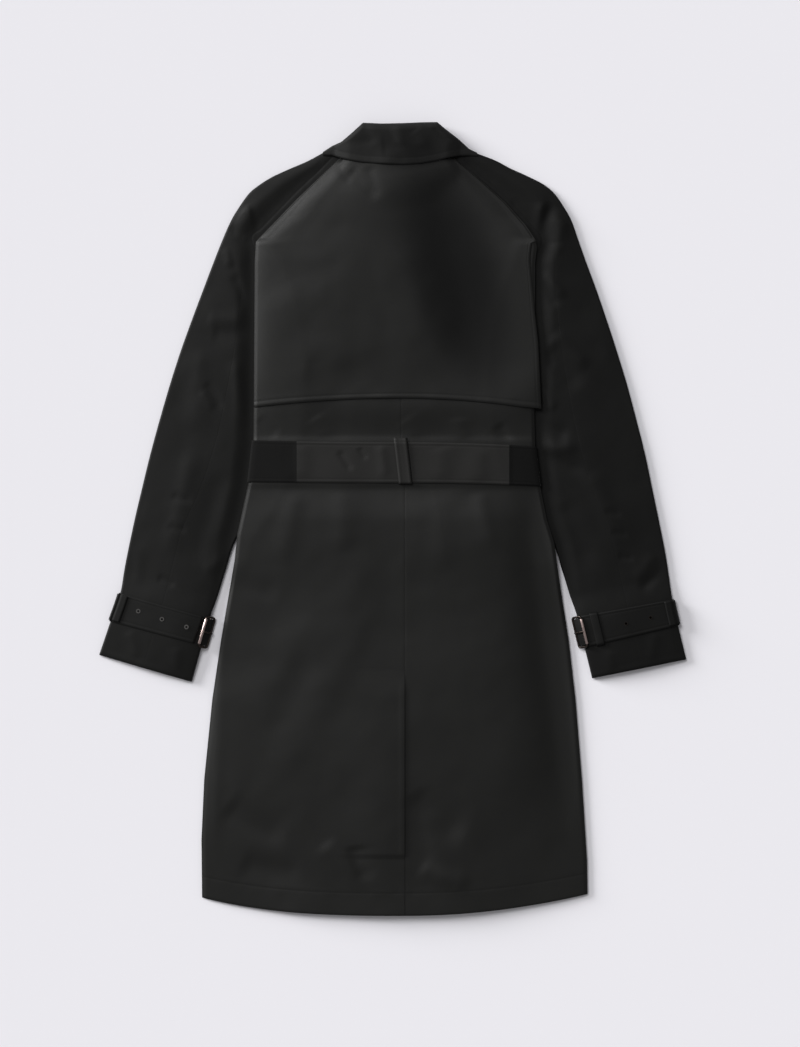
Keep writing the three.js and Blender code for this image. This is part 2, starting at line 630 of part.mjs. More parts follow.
// A flat frame with a middle bar, as an outline with two windows.
function frameGeometry(size, height) {
  const halfLength = size.length / 2;
  const halfWidth = size.width / 2;
  const corner = size.bar * 1.25;
  const shape = new THREE.Shape();
  shape.moveTo(-halfLength + corner, -halfWidth);
  shape.lineTo(halfLength - corner, -halfWidth);
  shape.quadraticCurveTo(halfLength, -halfWidth, halfLength, -halfWidth + corner);
  shape.lineTo(halfLength, halfWidth - corner);
  shape.quadraticCurveTo(halfLength, halfWidth, halfLength - corner, halfWidth);
  shape.lineTo(-halfLength + corner, halfWidth);
  shape.quadraticCurveTo(-halfLength, halfWidth, -halfLength, halfWidth - corner);
  shape.lineTo(-halfLength, -halfWidth + corner);
  shape.quadraticCurveTo(-halfLength, -halfWidth, -halfLength + corner, -halfWidth);
  const windows = [
    { from: -halfWidth + size.bar, to: -size.bar / 2, end: halfLength - size.bar },
    { from: size.bar / 2, to: halfWidth - size.bar, end: halfLength - size.bar - SEAM },
  ];
  for (const { from, to, end } of windows) {
    const window = new THREE.Path();
    window.moveTo(-end, from);
    window.lineTo(-end, to);
    window.lineTo(end, to);
    window.lineTo(end, from);
    shape.holes.push(window);
  }
  const options = { depth: height, bevelEnabled: false, curveSegments: 3 };
  return new THREE.ExtrudeGeometry(shape, options).translate(0, 0, -height / 2);
}

function makeCuffBuckle(side) {
  const upper = between(side, 0);
  const lower = between(side, 1);
  const start = new THREE.Vector3(upper.inX, upper.inY, 0);
  const end = new THREE.Vector3(lower.inX, lower.inY, 0);
  const along = end.clone().sub(start).normalize();
  const up = new THREE.Vector3(0, 0, 1);
  const outward = new THREE.Vector3().crossVectors(along, up);
  const armpit = side === 'left' ? 1 : -1;
  outward.multiplyScalar(Math.sign(outward.x) * armpit);
  const tilt = THREE.MathUtils.degToRad(CUFF_BUCKLE.tilt);
  const slant = outward.clone().multiplyScalar(-Math.cos(tilt)).addScaledVector(up, Math.sin(tilt));
  const face = new THREE.Vector3().crossVectors(along, slant);
  const basis = new THREE.Matrix4().makeBasis(along, slant, face);
  const centre = start.clone().add(end).multiplyScalar(0.5);
  centre.addScaledVector(outward, CUFF_BUCKLE.beyondEdge).setZ(CUFF_BUCKLE.low);
  const frame = add(`cuff_buckle_${side}`, frameGeometry(CUFF_BUCKLE, CUFF_BUCKLE.bar), METAL_LOOK);
  frame.quaternion.setFromRotationMatrix(basis);
  frame.position.copy(centre);
  const prong = add(
    `cuff_prong_${side}`,
    new THREE.CylinderGeometry(PRONG.radius, PRONG.radius, PRONG.length, 8),
    METAL_LOOK,
  );
  prong.quaternion.copy(frame.quaternion);
  const outside = Math.sign(face.dot(outward.clone().add(up)));
  const stand = CUFF_BUCKLE.bar / 2 + PRONG.radius + SEAM;
  prong.position.copy(centre).addScaledVector(face, outside * stand);
}

// Collar: the fall comes over the folded top edge and its lower leaf runs back under it.
function collarSection(station, inset) {
  const height = station.level + CLOTH - station.foot;
  const radius = Math.min(height / 2, (station.top - station.low) / COLLAR_ROUND_SHARE);
  const middle = { y: station.top - radius, upper: station.level + CLOTH - radius };
  const lowerMiddle = station.foot + radius;
  const reach = radius - inset;
  const upper = station.level + CLOTH - inset;
  const lower = station.foot + inset;
  const point = (y, z) => new THREE.Vector3(station.x, y, z);
  const run = (share) => station.low + (middle.y - station.low) * share;
  const turn = [90, 45, 0].map((degrees) => {
    const angle = THREE.MathUtils.degToRad(degrees);
    return point(middle.y + reach * Math.cos(angle), middle.upper + reach * Math.sin(angle));
  });
  const underTurn = [-25, -60, -90].map((degrees) => {
    const angle = THREE.MathUtils.degToRad(degrees);
    return point(middle.y + reach * Math.cos(angle), lowerMiddle + reach * Math.sin(angle));
  });
  const back = middle.y - (middle.y - station.low) * COLLAR_RETURN;
  return [
    point(station.low, upper), point(run(0.35), upper), point(run(0.7), upper),
    ...turn, ...underTurn, point(back, lower),
  ];
}

function makeCollar() {
  const outer = COLLAR.map((station) => collarSection(station, 0));
  const inner = COLLAR.map((station) => collarSection(station, CLOTH));
  add('collar_fall', pairWall(outer, inner), CLOTH_LOOK);
  const standStations = COLLAR.filter((station) => station.foot < 1);
  const leaf = (drop) => standStations.map((station) => {
    const start = Math.max(station.low + STAND.inFromEdges, STAND.lowest);
    const end = station.top - STAND.inFromEdges;
    return [0, 0.5, 1].map(
      (t) => new THREE.Vector3(station.x, start + (end - start) * t, station.level - drop),
    );
  });
  add('collar_stand', pairWall(leaf(SEAM), leaf(SEAM + CLOTH)), CLOTH_LOOK);
}

// Hidden fastenings of the fronts
function makeFastenings() {
  BUTTON_HEIGHTS.forEach((y, i) => {
    const geometry = new THREE.CylinderGeometry(BUTTON.radius, BUTTON.radius, BUTTON.height, 20);
    const button = add(`button_${i + 1}`, geometry.rotateX(Math.PI / 2), BUTTON_LOOK);
    button.position.set(BUTTON.x, y, BUTTON.height / 2);
  });
  const size = { length: FRONT_BUCKLE.width, width: FRONT_BUCKLE.length, bar: FRONT_BUCKLE.bar };
  const buckle = add('belt_buckle', frameGeometry(size, FRONT_BUCKLE.height), METAL_LOOK);
  buckle.position.set(BUTTON.x, FRONT_BUCKLE.y, FRONT_BUCKLE.height / 2);
}

makeBody();
makeBelt();
makeBeltLoop();
for (const side of ['left', 'right']) {
  makeSleeve(side);
  makeCuff(side);
}
makeKeeper();
makeCollar();
makeFastenings();

export default coat;
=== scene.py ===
import math
import bmesh
import bpy
import numpy as np
from mathutils import Matrix, Vector


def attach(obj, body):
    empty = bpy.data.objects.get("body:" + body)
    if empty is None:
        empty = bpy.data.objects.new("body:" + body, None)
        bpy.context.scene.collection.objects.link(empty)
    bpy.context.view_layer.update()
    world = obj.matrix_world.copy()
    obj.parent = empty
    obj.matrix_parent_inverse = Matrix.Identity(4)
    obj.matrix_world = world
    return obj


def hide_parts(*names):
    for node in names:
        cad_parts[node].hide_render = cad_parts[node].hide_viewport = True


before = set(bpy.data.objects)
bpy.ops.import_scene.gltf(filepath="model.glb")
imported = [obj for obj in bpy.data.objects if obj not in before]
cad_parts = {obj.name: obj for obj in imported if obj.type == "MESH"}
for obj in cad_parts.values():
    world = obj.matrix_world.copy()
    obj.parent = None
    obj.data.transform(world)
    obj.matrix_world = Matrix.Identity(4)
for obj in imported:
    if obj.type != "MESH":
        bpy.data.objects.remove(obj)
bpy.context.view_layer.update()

# Everything below is in millimetres in the CAD part's frame; MM turns it into metres.
MM = 0.001
CLOTH = 1.3  # wall of a panel
LOOP_CLOTH = 1  # wall of a small loop
TOP = 1.6  # a panel's outer face over its underside
LAYER = 1.9  # one panel over the next
SLEEVE_HEIGHT = 5.2
OVER_SLEEVE = 5.6
BACK_AIR = 7
EDGE_AIR = 3.4
SLEEVE_AIR = 4.2

# Lines of the body: y at the centre, at the left side and at the right side
BODY_LINES = (
    (447, 452, 452), (346, 346, 344.4), (196, 194, 194), (150, 139, 137), (122, 119, 115),
    (95.2, 97.7, 89.9), (44.4, 45.6, 39.9), (-8, -8, -10), (-189.4, -183, -183), (-334, -320, -320),
    (-496.3, -474.4, -470),
)
NECK, FLAP_HEM, BELT_TOP, BELT_FOOT, VENT_TOP, HEM = 447, 150, 95.2, 44.4, -189.4, -496.3
UNDERARM = 346
HALF_WIDTH = 216  # length that a share of 1 of the way to the side edge stands for

# The fronts' overlap, its ramp as shares of the half-width, and how high the buttons prop it
OVERLAP, OVERLAP_RAMP, BUTTON_PROP = 0.31, 0.11, 3
CENTRE_LINE = ((100, 10.6), (70, 13), (40, 15.3))
LEFT_EDGE = (
    (452, -64), (444.4, -72.2), (400.6, -118.1), (346, -170.6), (320, -172), (139, -173.1),
    (98, -173.5), (45.6, -179.4), (-20.6, -194), (-51.9, -197.1), (-101.9, -205.9),
    (-151.9, -214.5), (-226.9, -225.5), (-326.9, -235.6), (-401.9, -239), (-474.4, -238.2),
)
RIGHT_EDGE = (
    (452, 76), (444.4, 84.2), (424.9, 107.7), (395.6, 140.7), (365.6, 166.9), (344.4, 181),
    (320, 178), (133, 177), (90, 178), (39.9, 184.4), (-1.9, 192.7), (-30.6, 202), (-76.9, 208.7),
    (-151.9, 220.4), (-226.9, 229), (-326.9, 237), (-426.9, 243.3), (-470, 244),
)
FLAP_OUT = ((330, -7), (258, 0), (220, 4.5), (137, 9))

# Sleeves from the neck to the cuff: outer fold x and y, inner edge x and y, how far the inner edge
# is a closed fold, and how high the underside lies over the strap that passes under it
LEFT_SLEEVE = (
    (-82, 460.5, -64, 454, 0, 0), (-106, 447.5, -87, 430, 0, 0), (-127.7, 438.1, -103, 415, 0, 0),
    (-149.6, 428.1, -118, 400.6, 0, 0), (-165.9, 418.1, -132.5, 385.5, 0, 0),
    (-179, 407.5, -146.5, 371, 0, 0), (-190.5, 392, -159, 358, 0, 0),
    (-202, 373.1, -170.6, 346, 0, 0), (-213.1, 348.1, -158, 318, 0.7, 0),
    (-225, 318, -146, 291, 1, 0), (-237.5, 285, -137, 258, 1, 0), (-251, 249, -131, 222, 1, 0),
    (-265, 210, -128, 183, 1, 0), (-278.5, 168, -129, 143, 1, 0), (-291.6, 123, -134, 98, 1, 0),
    (-303.3, 80, -148, 52, 1, 0), (-314, 36, -170, 10, 1, 0), (-322.5, 0, -196, -27, 1, 0),
    (-331, -40, -209, -66, 1, 0), (-336, -66, -219, -98, 1, 0),
    (-340.5, -92.8, -228.5, -124.4, 1, 1),
    (-353, -129.4, -238.5, -159.4, 1, 1), (-367.2, -170.6, -251.2, -204.4, 1, 0),
)
RIGHT_SLEEVE = (
    (99, 459.5, 76, 453.5, 0, 0), (129, 448.1, 98, 433, 0, 0), (147, 438.5, 112, 421, 0, 0),
    (170, 428.1, 127, 408, 0, 0), (189.3, 418.1, 141, 395.3, 0, 0), (203, 406.5, 155, 379.5, 0, 0),
    (214.5, 390, 168, 364, 0, 0), (224, 373, 181.3, 344.4, 0, 0), (233.5, 346, 170, 318, 0.7, 0),
    (243.5, 318, 158, 291, 1, 0), (255.3, 286, 149, 258, 1, 0), (268, 249, 142, 222, 1, 0),
    (281, 209, 139, 183, 1, 0), (293.5, 168, 140, 143, 1, 0), (305.5, 123, 145, 98, 1, 0),
    (316.3, 80, 157, 50, 1, 0), (325.5, 36, 177, 8, 1, 0), (333, 0, 199, -25, 1, 0),
    (341, -40, 212, -64, 1, 0), (346, -72, 222, -96, 1, 0), (350, -100.6, 230.8, -121.9, 1, 1),
    (357.5, -134.4, 240.5, -161.9, 1, 1), (367.8, -176.3, 249.8, -199.9, 1, 0),
)
SLEEVES = {"left": LEFT_SLEEVE, "right": RIGHT_SLEEVE}
SLEEVE_SEAM = 0.47
SEAM_LAP = 1.6
STRAP_FROM, STRAP_TO, STRAP_MIDDLE = 20, 21, 20.5

# Collar from left to right: x, its free edge, its folded top, its level and its lower leaf's level
COLLAR = (
    (-87, 453.8, 458.4, 6.7, 4.6), (-75, 454, 466, 7.6, 4.9), (-64, 450, 470.5, 8.8, 5.2),
    (-50, 446.5, 482.5, 9.9, 1), (-37, 444.2, 494.5, 9.9, 0), (-14, 442.3, 493.4, 9.9, 0),
    (12, 441.3, 493.8, 9.9, 0), (35, 442.8, 495, 9.9, 0), (56, 446.5, 495.5, 9.9, 0),
    (66, 449.2, 487, 9.9, 0), (84, 453.6, 473, 8.2, 5.2), (96, 453.8, 462, 7.2, 4.9),
    (106, 453, 457.4, 6.7, 4.6),
)

# Creases: start, bend and end in plan, width on the left and on the right of the way, height.
# A negative height is a trough.
BODY_CREASES = (
    ((92, 446), (118, 330), (146, 150), 78, 60, -12),
    ((10, 446), (10, 330), (38, 150), 400, 74, 3.6),
    ((96, 440), (128, 330), (150, 200), 15, 18, 1.6),
    ((80, 446), (98, 385), (111, 322), 7, 5, -1.6),
    ((-120, 300), (-90, 230), (-60, 160), 60, 50, 1.1),
    ((132, 118), (140, 104), (150, 88), 9, 6, -1.6),
    ((-68, 442), (-62, 432), (-50, 418), 5, 5, -0.9),
    ((-54, 436), (-40, 420), (-18, 398), 7, 6, -1),
    ((-30, 440), (-26, 420), (-16, 396), 8, 7, -0.8),
    ((-150, 300), (-80, 240), (-40, 170), 34, 26, 1),
    ((-110, 190), (-70, 176), (-30, 190), 16, 18, -0.8),
    ((128, 36), (152, -130), (198, -430), 84, 44, 4.4),
    ((176, 50), (200, -120), (238, -440), 40, 13, -7.5),
    ((186, 36), (200, -30), (216, -120), 7, 10, 1.4),
    ((-118, -190), (-66, -110), (-14, -40), 24, 20, 1.3),
    ((-178, -260), (-126, -160), (-76, -64), 26, 20, 1.3),
    ((-150, -330), (-76, -200), (-12, -82), 26, 22, 1.2),
    ((-212, -74), (-176, -88), (-140, -96), 12, 15, -1.1),
    ((-236, -190), (-208, -300), (-150, -430), 40, 60, 2.4),
    ((-210, -360), (-176, -386), (-132, -400), 15, 20, -2.1),
    ((-190, -430), (-150, -446), (-110, -440), 16, 14, -1.7),
    ((-48, -408), (-46, -428), (-34, -456), 9, 14, -1.9),
    ((-86, -404), (-64, -430), (-30, -452), 15, 12, 1.7),
    ((26, -340), (52, -378), (92, -396), 18, 16, -2),
    ((34, -434), (62, -452), (100, -456), 13, 12, 1.7),
    ((40, -360), (60, -420), (66, -470), 12, 16, 0.9),
    ((-120, 36), (-128, -10), (-140, -60), 15, 13, 1.1),
    ((-60, 34), (-64, 0), (-60, -44), 14, 15, 0.9),
    ((56, 36), (66, -20), (62, -70), 15, 17, 0.9),
    ((108, 34), (112, 0), (128, -44), 11, 11, 0.9),
    ((-216, -120), (-222, -260), (-226, -440), 16, 10, 1.4),
    ((226, -190), (232, -300), (234, -420), 10, 12, 1.3),
    ((-170, 124), (-158, 110), (-142, 102), 9, 9, -1.1),
    ((-96, 128), (-88, 116), (-86, 98), 13, 13, 0.7),
    ((16, 126), (26, 112), (26, 98), 13, 14, 0.7),
    ((84, 126), (84, 112), (90, 96), 12, 12, 0.7),
)
BELT_CREASES = (
    ((-66, 84), (-58, 72), (-50, 59), 4, 5, -1.1),
    ((-41, 88), (-36, 80), (-31, 74), 4, 4, -0.9),
    ((-14, 92), (-10, 70), (-8, 48), 7, 6, 0.9),
    ((60, 90), (64, 70), (58, 46), 12, 14, 0.8),
    ((110, 88), (104, 66), (110, 44), 12, 10, 0.7),
    ((-112, 92), (-108, 70), (-114, 48), 11, 10, 0.7),
)


# Lines and heights
def smooth(t):
    """0 below 0, 1 above 1 and an even curve between them."""
    held = np.clip(t, 0.0, 1.0)
    return held * held * (3.0 - 2.0 * held)


def higher(one, other, width):
    """The higher of two levels, with the corner where they cross rounded over about the width."""
    return 0.5 * (one + other + np.sqrt((one - other) ** 2 + width ** 2))


def read_at(line, y):
    """x on a line of (y, x) rows that run down from the neck."""
    heights, places = np.array(line, float).T
    return np.interp(-np.asarray(y, float), -heights, places)


def column(table, key, value):
    return tuple((row[key], row[value]) for row in table)


LEFT_INNER = column(LEFT_SLEEVE, 3, 2)
RIGHT_INNER = column(RIGHT_SLEEVE, 3, 2)


def crease_height(x, y, creases):
    """Sum of the creases' heights. Each fades in and out along its way, and each of its sides has a
    width of its own."""
    height = np.zeros_like(x)
    steps = np.linspace(0, 1, 13)
    for start, bend, end, left_width, right_width, top in creases:
        start, bend, end = np.array(start), np.array(bend), np.array(end)
        way = [start * (1 - t) ** 2 + bend * 2 * t * (1 - t) + end * t * t for t in steps]
        nearest = np.full(x.shape, np.inf)
        side = np.zeros_like(x)
        along = np.zeros_like(x)
        for i, (a, b) in enumerate(zip(way, way[1:])):
            step = b - a
            t = ((x - a[0]) * step[0] + (y - a[1]) * step[1]) / (step @ step)
            held = np.clip(t, 0, 1)
            away = np.hypot(x - a[0] - held * step[0], y - a[1] - held * step[1])
            closer = away < nearest
            nearest = np.where(closer, away, nearest)
            turn = (x - a[0]) * step[1] - (y - a[1]) * step[0]
            side = np.where(closer, turn, side)
            along = np.where(closer, (i + held) / (len(way) - 1), along)
        downward = 1 if start[1] > end[1] else -1
        width = np.where(side * downward < 0, right_width, left_width)
        fade = smooth(along / 0.22 + 0.15) * smooth((1 - along) / 0.3 + 0.1)
        height += top * fade * np.exp(-(nearest / width) ** 2)
    return height


LATTICE = 64


def rumple(x, y, size, seed):
    """Soft uneven rise and fall between -1 and 1, its humps about size apart."""
    lattice = np.random.default_rng(seed).uniform(-1, 1, (LATTICE, LATTICE))
    u, v = x / size + 31.3, y / size + 31.7
    i, j = np.floor(u).astype(int), np.floor(v).astype(int)
    s, t = smooth(u - i), smooth(v - j)

    def corner(right, up):
        return lattice[(i + right) % LATTICE, (j + up) % LATTICE]

    low = corner(0, 0) * (1 - s) + corner(1, 0) * s
    high = corner(0, 1) * (1 - s) + corner(1, 1) * s
    return low * (1 - t) + high * t


def hem_relief(inward, stitch):
    """Height of a turned and stitched edge over the distance inward: a roll, then the stitches' dip."""
    roll = 0.12 * np.exp(-((inward - stitch * 0.45) / (stitch * 0.36)) ** 2)
    dip = -0.18 * np.exp(-((inward - stitch) / 1.2) ** 2)
    fall = -0.6 * np.exp(-(inward / 0.9) ** 2)
    return roll + dip + fall


def body_point(across, mid):
    """Plan of the body. across runs from -1 at the left side to 1 at the right, and mid is y at the
    centre."""
    share = np.abs(across)
    mids, lefts, rights = np.array(BODY_LINES, float).T
    left_y = np.interp(-mid, -mids, lefts)
    right_y = np.interp(-mid, -mids, rights)
    side_y = np.where(across < 0, left_y, right_y)
    low = smooth((-300 - mid) / 150)
    power = np.where(across < 0, 2 + 0.9 * low, 2)
    y = mid + (side_y - mid) * share ** power
    centre = read_at(CENTRE_LINE, y)
    edge = np.where(across < 0, read_at(LEFT_EDGE, left_y), read_at(RIGHT_EDGE, right_y))
    return centre + (edge - centre) * share, y


def over_sleeve(across, x, y):
    """How far a point of the body lies over the inner half of a sleeve, 0 to 1."""
    past = np.where(across < 0, read_at(LEFT_INNER, y) - x, x - read_at(RIGHT_INNER, y))
    return smooth((past + 62) / 46)


def sleeve_lift(across, x, y):
    """How high the sleeves lift the body where it lies on them, below the raglan seams."""
    lift = OVER_SLEEVE * over_sleeve(across, x, y)
    return lift * smooth((420 - y) / 70) * smooth((y + 112) / 62)


def belt_grip(y):
    """How much the belt presses on the coat, 0 to 1."""
    return smooth((y - 36) / 8) * smooth((104 - y) / 8)


def overlap_prop(across):
    """Where the fronts' overlap and its buttons lie under the coat, 0 to 1."""
    return smooth((OVERLAP - np.abs(across)) / OVERLAP_RAMP)


def front_level(across, x, y):
    """Underside of the fronts: flat on the surface, over the sleeves' inner halves and the buttons."""
    propped = BUTTON_PROP * overlap_prop(across)
    return np.maximum(sleeve_lift(across, x, y), propped) + LAYER * belt_grip(y)


def back_level(across, x, y):
    """Underside of the back: what it rests on, then air, creases and rumples over that."""
    share = np.abs(across)
    taut = smooth((y + 200) / 180)
    over_fronts = np.maximum(sleeve_lift(across, x, y), BUTTON_PROP * smooth((0.9 - share) / 0.77))
    over_fronts = over_fronts + LAYER + LAYER * smooth((0.85 - share) / 0.54) * (1 - taut)
    over_raglan = OVER_SLEEVE * over_sleeve(across, x, y) * smooth((y - 330) / 40)
    bridge = (OVER_SLEEVE + LAYER * smooth((370 - y) / 50)) * taut
    bridge = bridge * smooth((1 - share) / 0.04 + 0.4)
    base = higher(np.maximum(over_fronts, over_raglan), bridge, 1.6)

    grip = belt_grip(y)
    waist = smooth((y + 4) / 46) * smooth((146 - y) / 46)
    skirt_foot = smooth((HEM + 240 - y) / 240)
    settled = 0.45 * waist + 0.5 * skirt_foot + 0.08 * smooth((y - 300) / 150)
    dome = BACK_AIR - 2.6 * smooth((40 - y) / 140) - 2 * smooth((y - 120) / 120)
    rim = share ** np.where(across < 0, 7, 16)
    air = (dome * (1 - share ** 2) + EDGE_AIR * (1 - rim)) * (1 - settled)
    creases = crease_height(x, y, BODY_CREASES) * (1 - share ** 24) * (1 - 0.85 * grip)
    soft = 0.8 * rumple(x, y, 52, 3) + 0.22 * rumple(x, y, 21, 4)
    soft = soft * (1 - share ** 6) * (1 - 0.6 * grip)
    risen = LAYER * grip * 0.6 + air + creases + soft
    least, bend = 0.25, 1.1
    return base + least + bend * np.logaddexp(0, (risen - least) / bend)


def spaced(length, step, edges=()):
    """Places along a length, step apart, and closer just inside the edges named start and end."""
    close = np.array([0, 0.12, 0.7, 1.5, 2.4, 3.4, 4.4, 5.2, 5.9, 6.6, 7.4, 8.6])
    places = set(np.round(np.linspace(0, length, max(2, round(length / step) + 1)), 3))
    for edge, near in (("start", close), ("end", length - close)):
        if edge in edges:
            low, high = near.min(), near.max()
            places = {p for p in places if not low < p < high} | set(np.round(near, 3))
    return np.array(sorted(places))


LOWEST = 0.1


def sheet_mesh(name, patches, cloth=CLOTH, up_at=0.0):
    """Cloth from patches of (across, along, place). Each is a grid whose points are moved to
    place(across, along) on the cloth's outer face, and its wall lies inside that. up_at is the share
    of the way across at which the outer face looks up."""
    bm = bmesh.new()
    for across, along, place in patches:
        made = bmesh.ops.create_grid(
            bm, x_segments=len(across) - 1, y_segments=len(along) - 1, size=1
        )["verts"]
        grid = np.array([v.co[:] for v in made])
        columns = np.rint((grid[:, 0] + 1) / 2 * (len(across) - 1)).astype(int)
        rows = np.rint((grid[:, 1] + 1) / 2 * (len(along) - 1)).astype(int)
        x, y, z = place(across[columns], along[rows])
        for vert, *spot in zip(made, x * MM, y * MM, np.maximum(z, LOWEST) * MM):
            vert.co = spot
        bm.normal_update()
        watched = round(up_at * (len(across) - 1))
        beside = {vert for vert, number in zip(made, columns) if abs(number - watched) <= 1}
        upward = sum(face.normal.z for vert in beside for face in vert.link_faces)
        if upward < 0:
            faces = {face for vert in made for face in vert.link_faces}
            bmesh.ops.reverse_faces(bm, faces=list(faces))
    piece = to_piece(name, bm)
    wall = piece.modifiers.new("wall", "SOLIDIFY")
    wall.thickness = cloth * MM
    wall.offset = -1
    return piece


def to_piece(name, bm):
    mesh = bpy.data.meshes.new(name)
    bm.to_mesh(mesh)
    bm.free()
    mesh.shade_smooth()
    piece = bpy.data.objects.new(name, mesh)
    bpy.context.scene.collection.objects.link(piece)
    return piece


def finish_piece(piece, material, *nodes):
    piece.data.materials.append(material)
    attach(piece, "root")
    if nodes:
        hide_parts(*nodes)
    return piece


# Body: two backs, two fronts and the storm flap
VENT_WIDTH = 0.2
HEM_STITCH, FLAP_STITCH, RAGLAN_STITCH, COLLAR_STITCH = 28, 5.6, 6.3, 8
VENT_BAR = -424
RAGLAN_DROP, RAGLAN_SLOPE = 2.4, 52


def side_roll(across):
    """The backs' side edges roll down onto the fronts."""
    inward = (1 - np.abs(across)) * HALF_WIDTH
    return -0.9 * np.exp(-(inward / 2.6) ** 2)


def stitch_dip(away, seed_x, seed_y):
    """A row of stitches draws the cloth down and puckers it a little on both sides."""
    pucker = 0.2 * rumple(seed_x, seed_y, 7, 11) * np.exp(-(away / 9) ** 2)
    return -0.24 * np.exp(-(away / 1.3) ** 2) + 0.08 * np.exp(-((away - 3.4) / 2.2) ** 2) + pucker


def back_surface(across, mid, upper):
    """Top of a back panel. upper is how far the panel lies over the other at the vent, 0 to 1."""
    x, y = body_point(across, mid)
    z = back_level(across, x, y) + TOP + side_roll(across)
    from_centre = np.abs(across) * HALF_WIDTH
    closed = smooth((mid - VENT_TOP + 4) / 4)
    z += 0.3 * closed * stitch_dip(from_centre, x, y)
    z -= 0.16 * np.exp(-((mid - VENT_TOP) / 1.2) ** 2) * smooth((56 - from_centre) / 5) * upper
    lapped = smooth((VENT_TOP - 2 - mid) / 34)
    lapped = lapped * smooth((VENT_WIDTH * HALF_WIDTH + 45 - from_centre) / 80)
    held = 0.14 + 0.86 * smooth((y - VENT_BAR) / 4)
    z += upper * lapped * held * (LAYER + 0.25 * np.exp(-((from_centre - 3) / 3) ** 2))
    z += 0.55 * stitch_dip(mid - HEM - HEM_STITCH, x, y)
    z -= 0.5 * np.exp(-((mid - HEM) / 1.2) ** 2)
    return x, y, z


def back_rows():
    """Rows of a back, close together where the cloth shows and at the hem."""
    flap_foot = NECK - FLAP_HEM - 12
    hidden = np.arange(0, flap_foot, 9.0)
    shown = np.arange(flap_foot, NECK - HEM - 30, 2.9)
    hem = np.array([30, 29, 28.4, 27.7, 27, 26, 24, 21.5, 19, 16, 13, 10, 7, 4, 2, 1, 0.4, 0])
    return np.concatenate([hidden, shown, NECK - HEM - hem])


def make_backs(cloth):
    """Both backs. The left one lies on top at the vent, over the right one's underlap."""
    columns = spaced(HALF_WIDTH, 3, ("start", "end"))
    rows = back_rows()
    half_seam = 0.1

    def left(a, m):
        x, y, z = back_surface(-a / HALF_WIDTH, NECK - m, 1)
        return x - half_seam, y, z

    def right(a, m):
        x, y, z = back_surface(a / HALF_WIDTH, NECK - m, 0)
        return x + half_seam, y, z

    def underlap(a, m):
        return back_surface(-a / HALF_WIDTH, NECK - m, 0)

    left_back = sheet_mesh("back_left_cloth", [(columns, rows, left)])
    vent_rows = rows[rows > NECK - VENT_TOP + 10]
    under_columns = spaced(VENT_WIDTH * HALF_WIDTH, 6)
    right_back = sheet_mesh(
        "back_right_cloth", [(columns, rows, right), (under_columns, vent_rows[::2], underlap)]
    )
    for side, piece in (("left", left_back), ("right", right_back)):
        finish_piece(piece, cloth, f"back_{side}")


def make_fronts(cloth):
    """The hidden fronts, plain and overlapped. The left one lies outside the right one."""
    rows = spaced(NECK - HEM, 7, ("end",))
    reach = OVERLAP * HALF_WIDTH

    def front(side, over):
        def place(a, m):
            across = side * (a - reach) / HALF_WIDTH
            x, y = body_point(across, NECK - m)
            share = np.abs(across)
            inset = 6.6 * smooth((share - 0.7) / 0.3) * smooth((y - UNDERARM + 6) / 8)
            z = front_level(across, x, y) + TOP
            z += over * LAYER * smooth((0.43 - side * across) / 0.12)
            z += 0.45 * (rumple(x, y, 38, 21 + over) + 1) * (1 - share ** 4)
            return x - side * inset, y, z
        return place

    for name, side, over in (("left", -1, 0), ("right", 1, 1)):
        columns = spaced(HALF_WIDTH + reach, 7, ("start", "end"))
        piece = sheet_mesh(f"front_{name}_cloth", [(columns, rows, front(side, over))])
        finish_piece(piece, cloth, f"front_{name}")


def raglan_drop(inward):
    """How far the storm flap sinks toward the raglan seams."""
    return RAGLAN_DROP * smooth((RAGLAN_SLOPE - inward) / RAGLAN_SLOPE)


def make_storm_flap(cloth):
    """The flap over both backs, sewn in along the neck and the raglan seams, free below them."""
    columns = spaced(2 * HALF_WIDTH, 2.6, ("start", "end"))
    rows = spaced(NECK - FLAP_HEM, 2.6, ("end",))

    def place(a, m):
        across, mid = a / HALF_WIDTH - 1, NECK - m
        x, y = body_point(across, mid)
        z = back_level(across, x, y) + LAYER + TOP
        inward = (1 - np.abs(across)) * HALF_WIDTH
        raglan = smooth((y - UNDERARM + 4) / 10)
        z += raglan * (0.5 * stitch_dip(inward - 1.6, x, y) - raglan_drop(inward))
        z += (1 - raglan) * hem_relief(inward, FLAP_STITCH) * smooth((across + 0.5) / 0.1)
        z += (1 - raglan) * side_roll(across) * smooth((-across - 0.5) / 0.1)
        foot = mid - FLAP_HEM
        z += hem_relief(foot, FLAP_STITCH) + 0.5 * np.exp(-foot / 9)
        z += 0.5 * np.exp(-foot / 16) * rumple(x, y, 34, 8)
        out = read_at(FLAP_OUT, y) * smooth((across - 0.86) / 0.14) * (y < UNDERARM)
        return x + out, y, z

    flap = sheet_mesh("storm_flap_cloth", [(columns, rows, place)])
    finish_piece(flap, cloth, "storm_flap")


# Belt: between these x it lies on top, and beyond them its ends begin, a little lower and with painted
# shade
BELT_ZONES = (-119.4, 145.6)
BELT_STITCH = 4.2


def belt_level(across, x, y):
    """Top of the belt over the back, lower past its two zone seams."""
    share = np.abs(across)
    base = back_level(across, x, y) + LAYER + TOP
    wrinkles = crease_height(x, y, BELT_CREASES) * (1 - share ** 8)
    outer = smooth((BELT_ZONES[0] - x) / 2.5) + smooth((x - BELT_ZONES[1]) / 2.5)
    return base + wrinkles - 0.4 * outer + 0.3 * rumple(x, y, 27, 15) * (1 - share ** 8)


def belt_rows():
    return spaced(BELT_TOP - BELT_FOOT, 2.2, ("start", "end"))


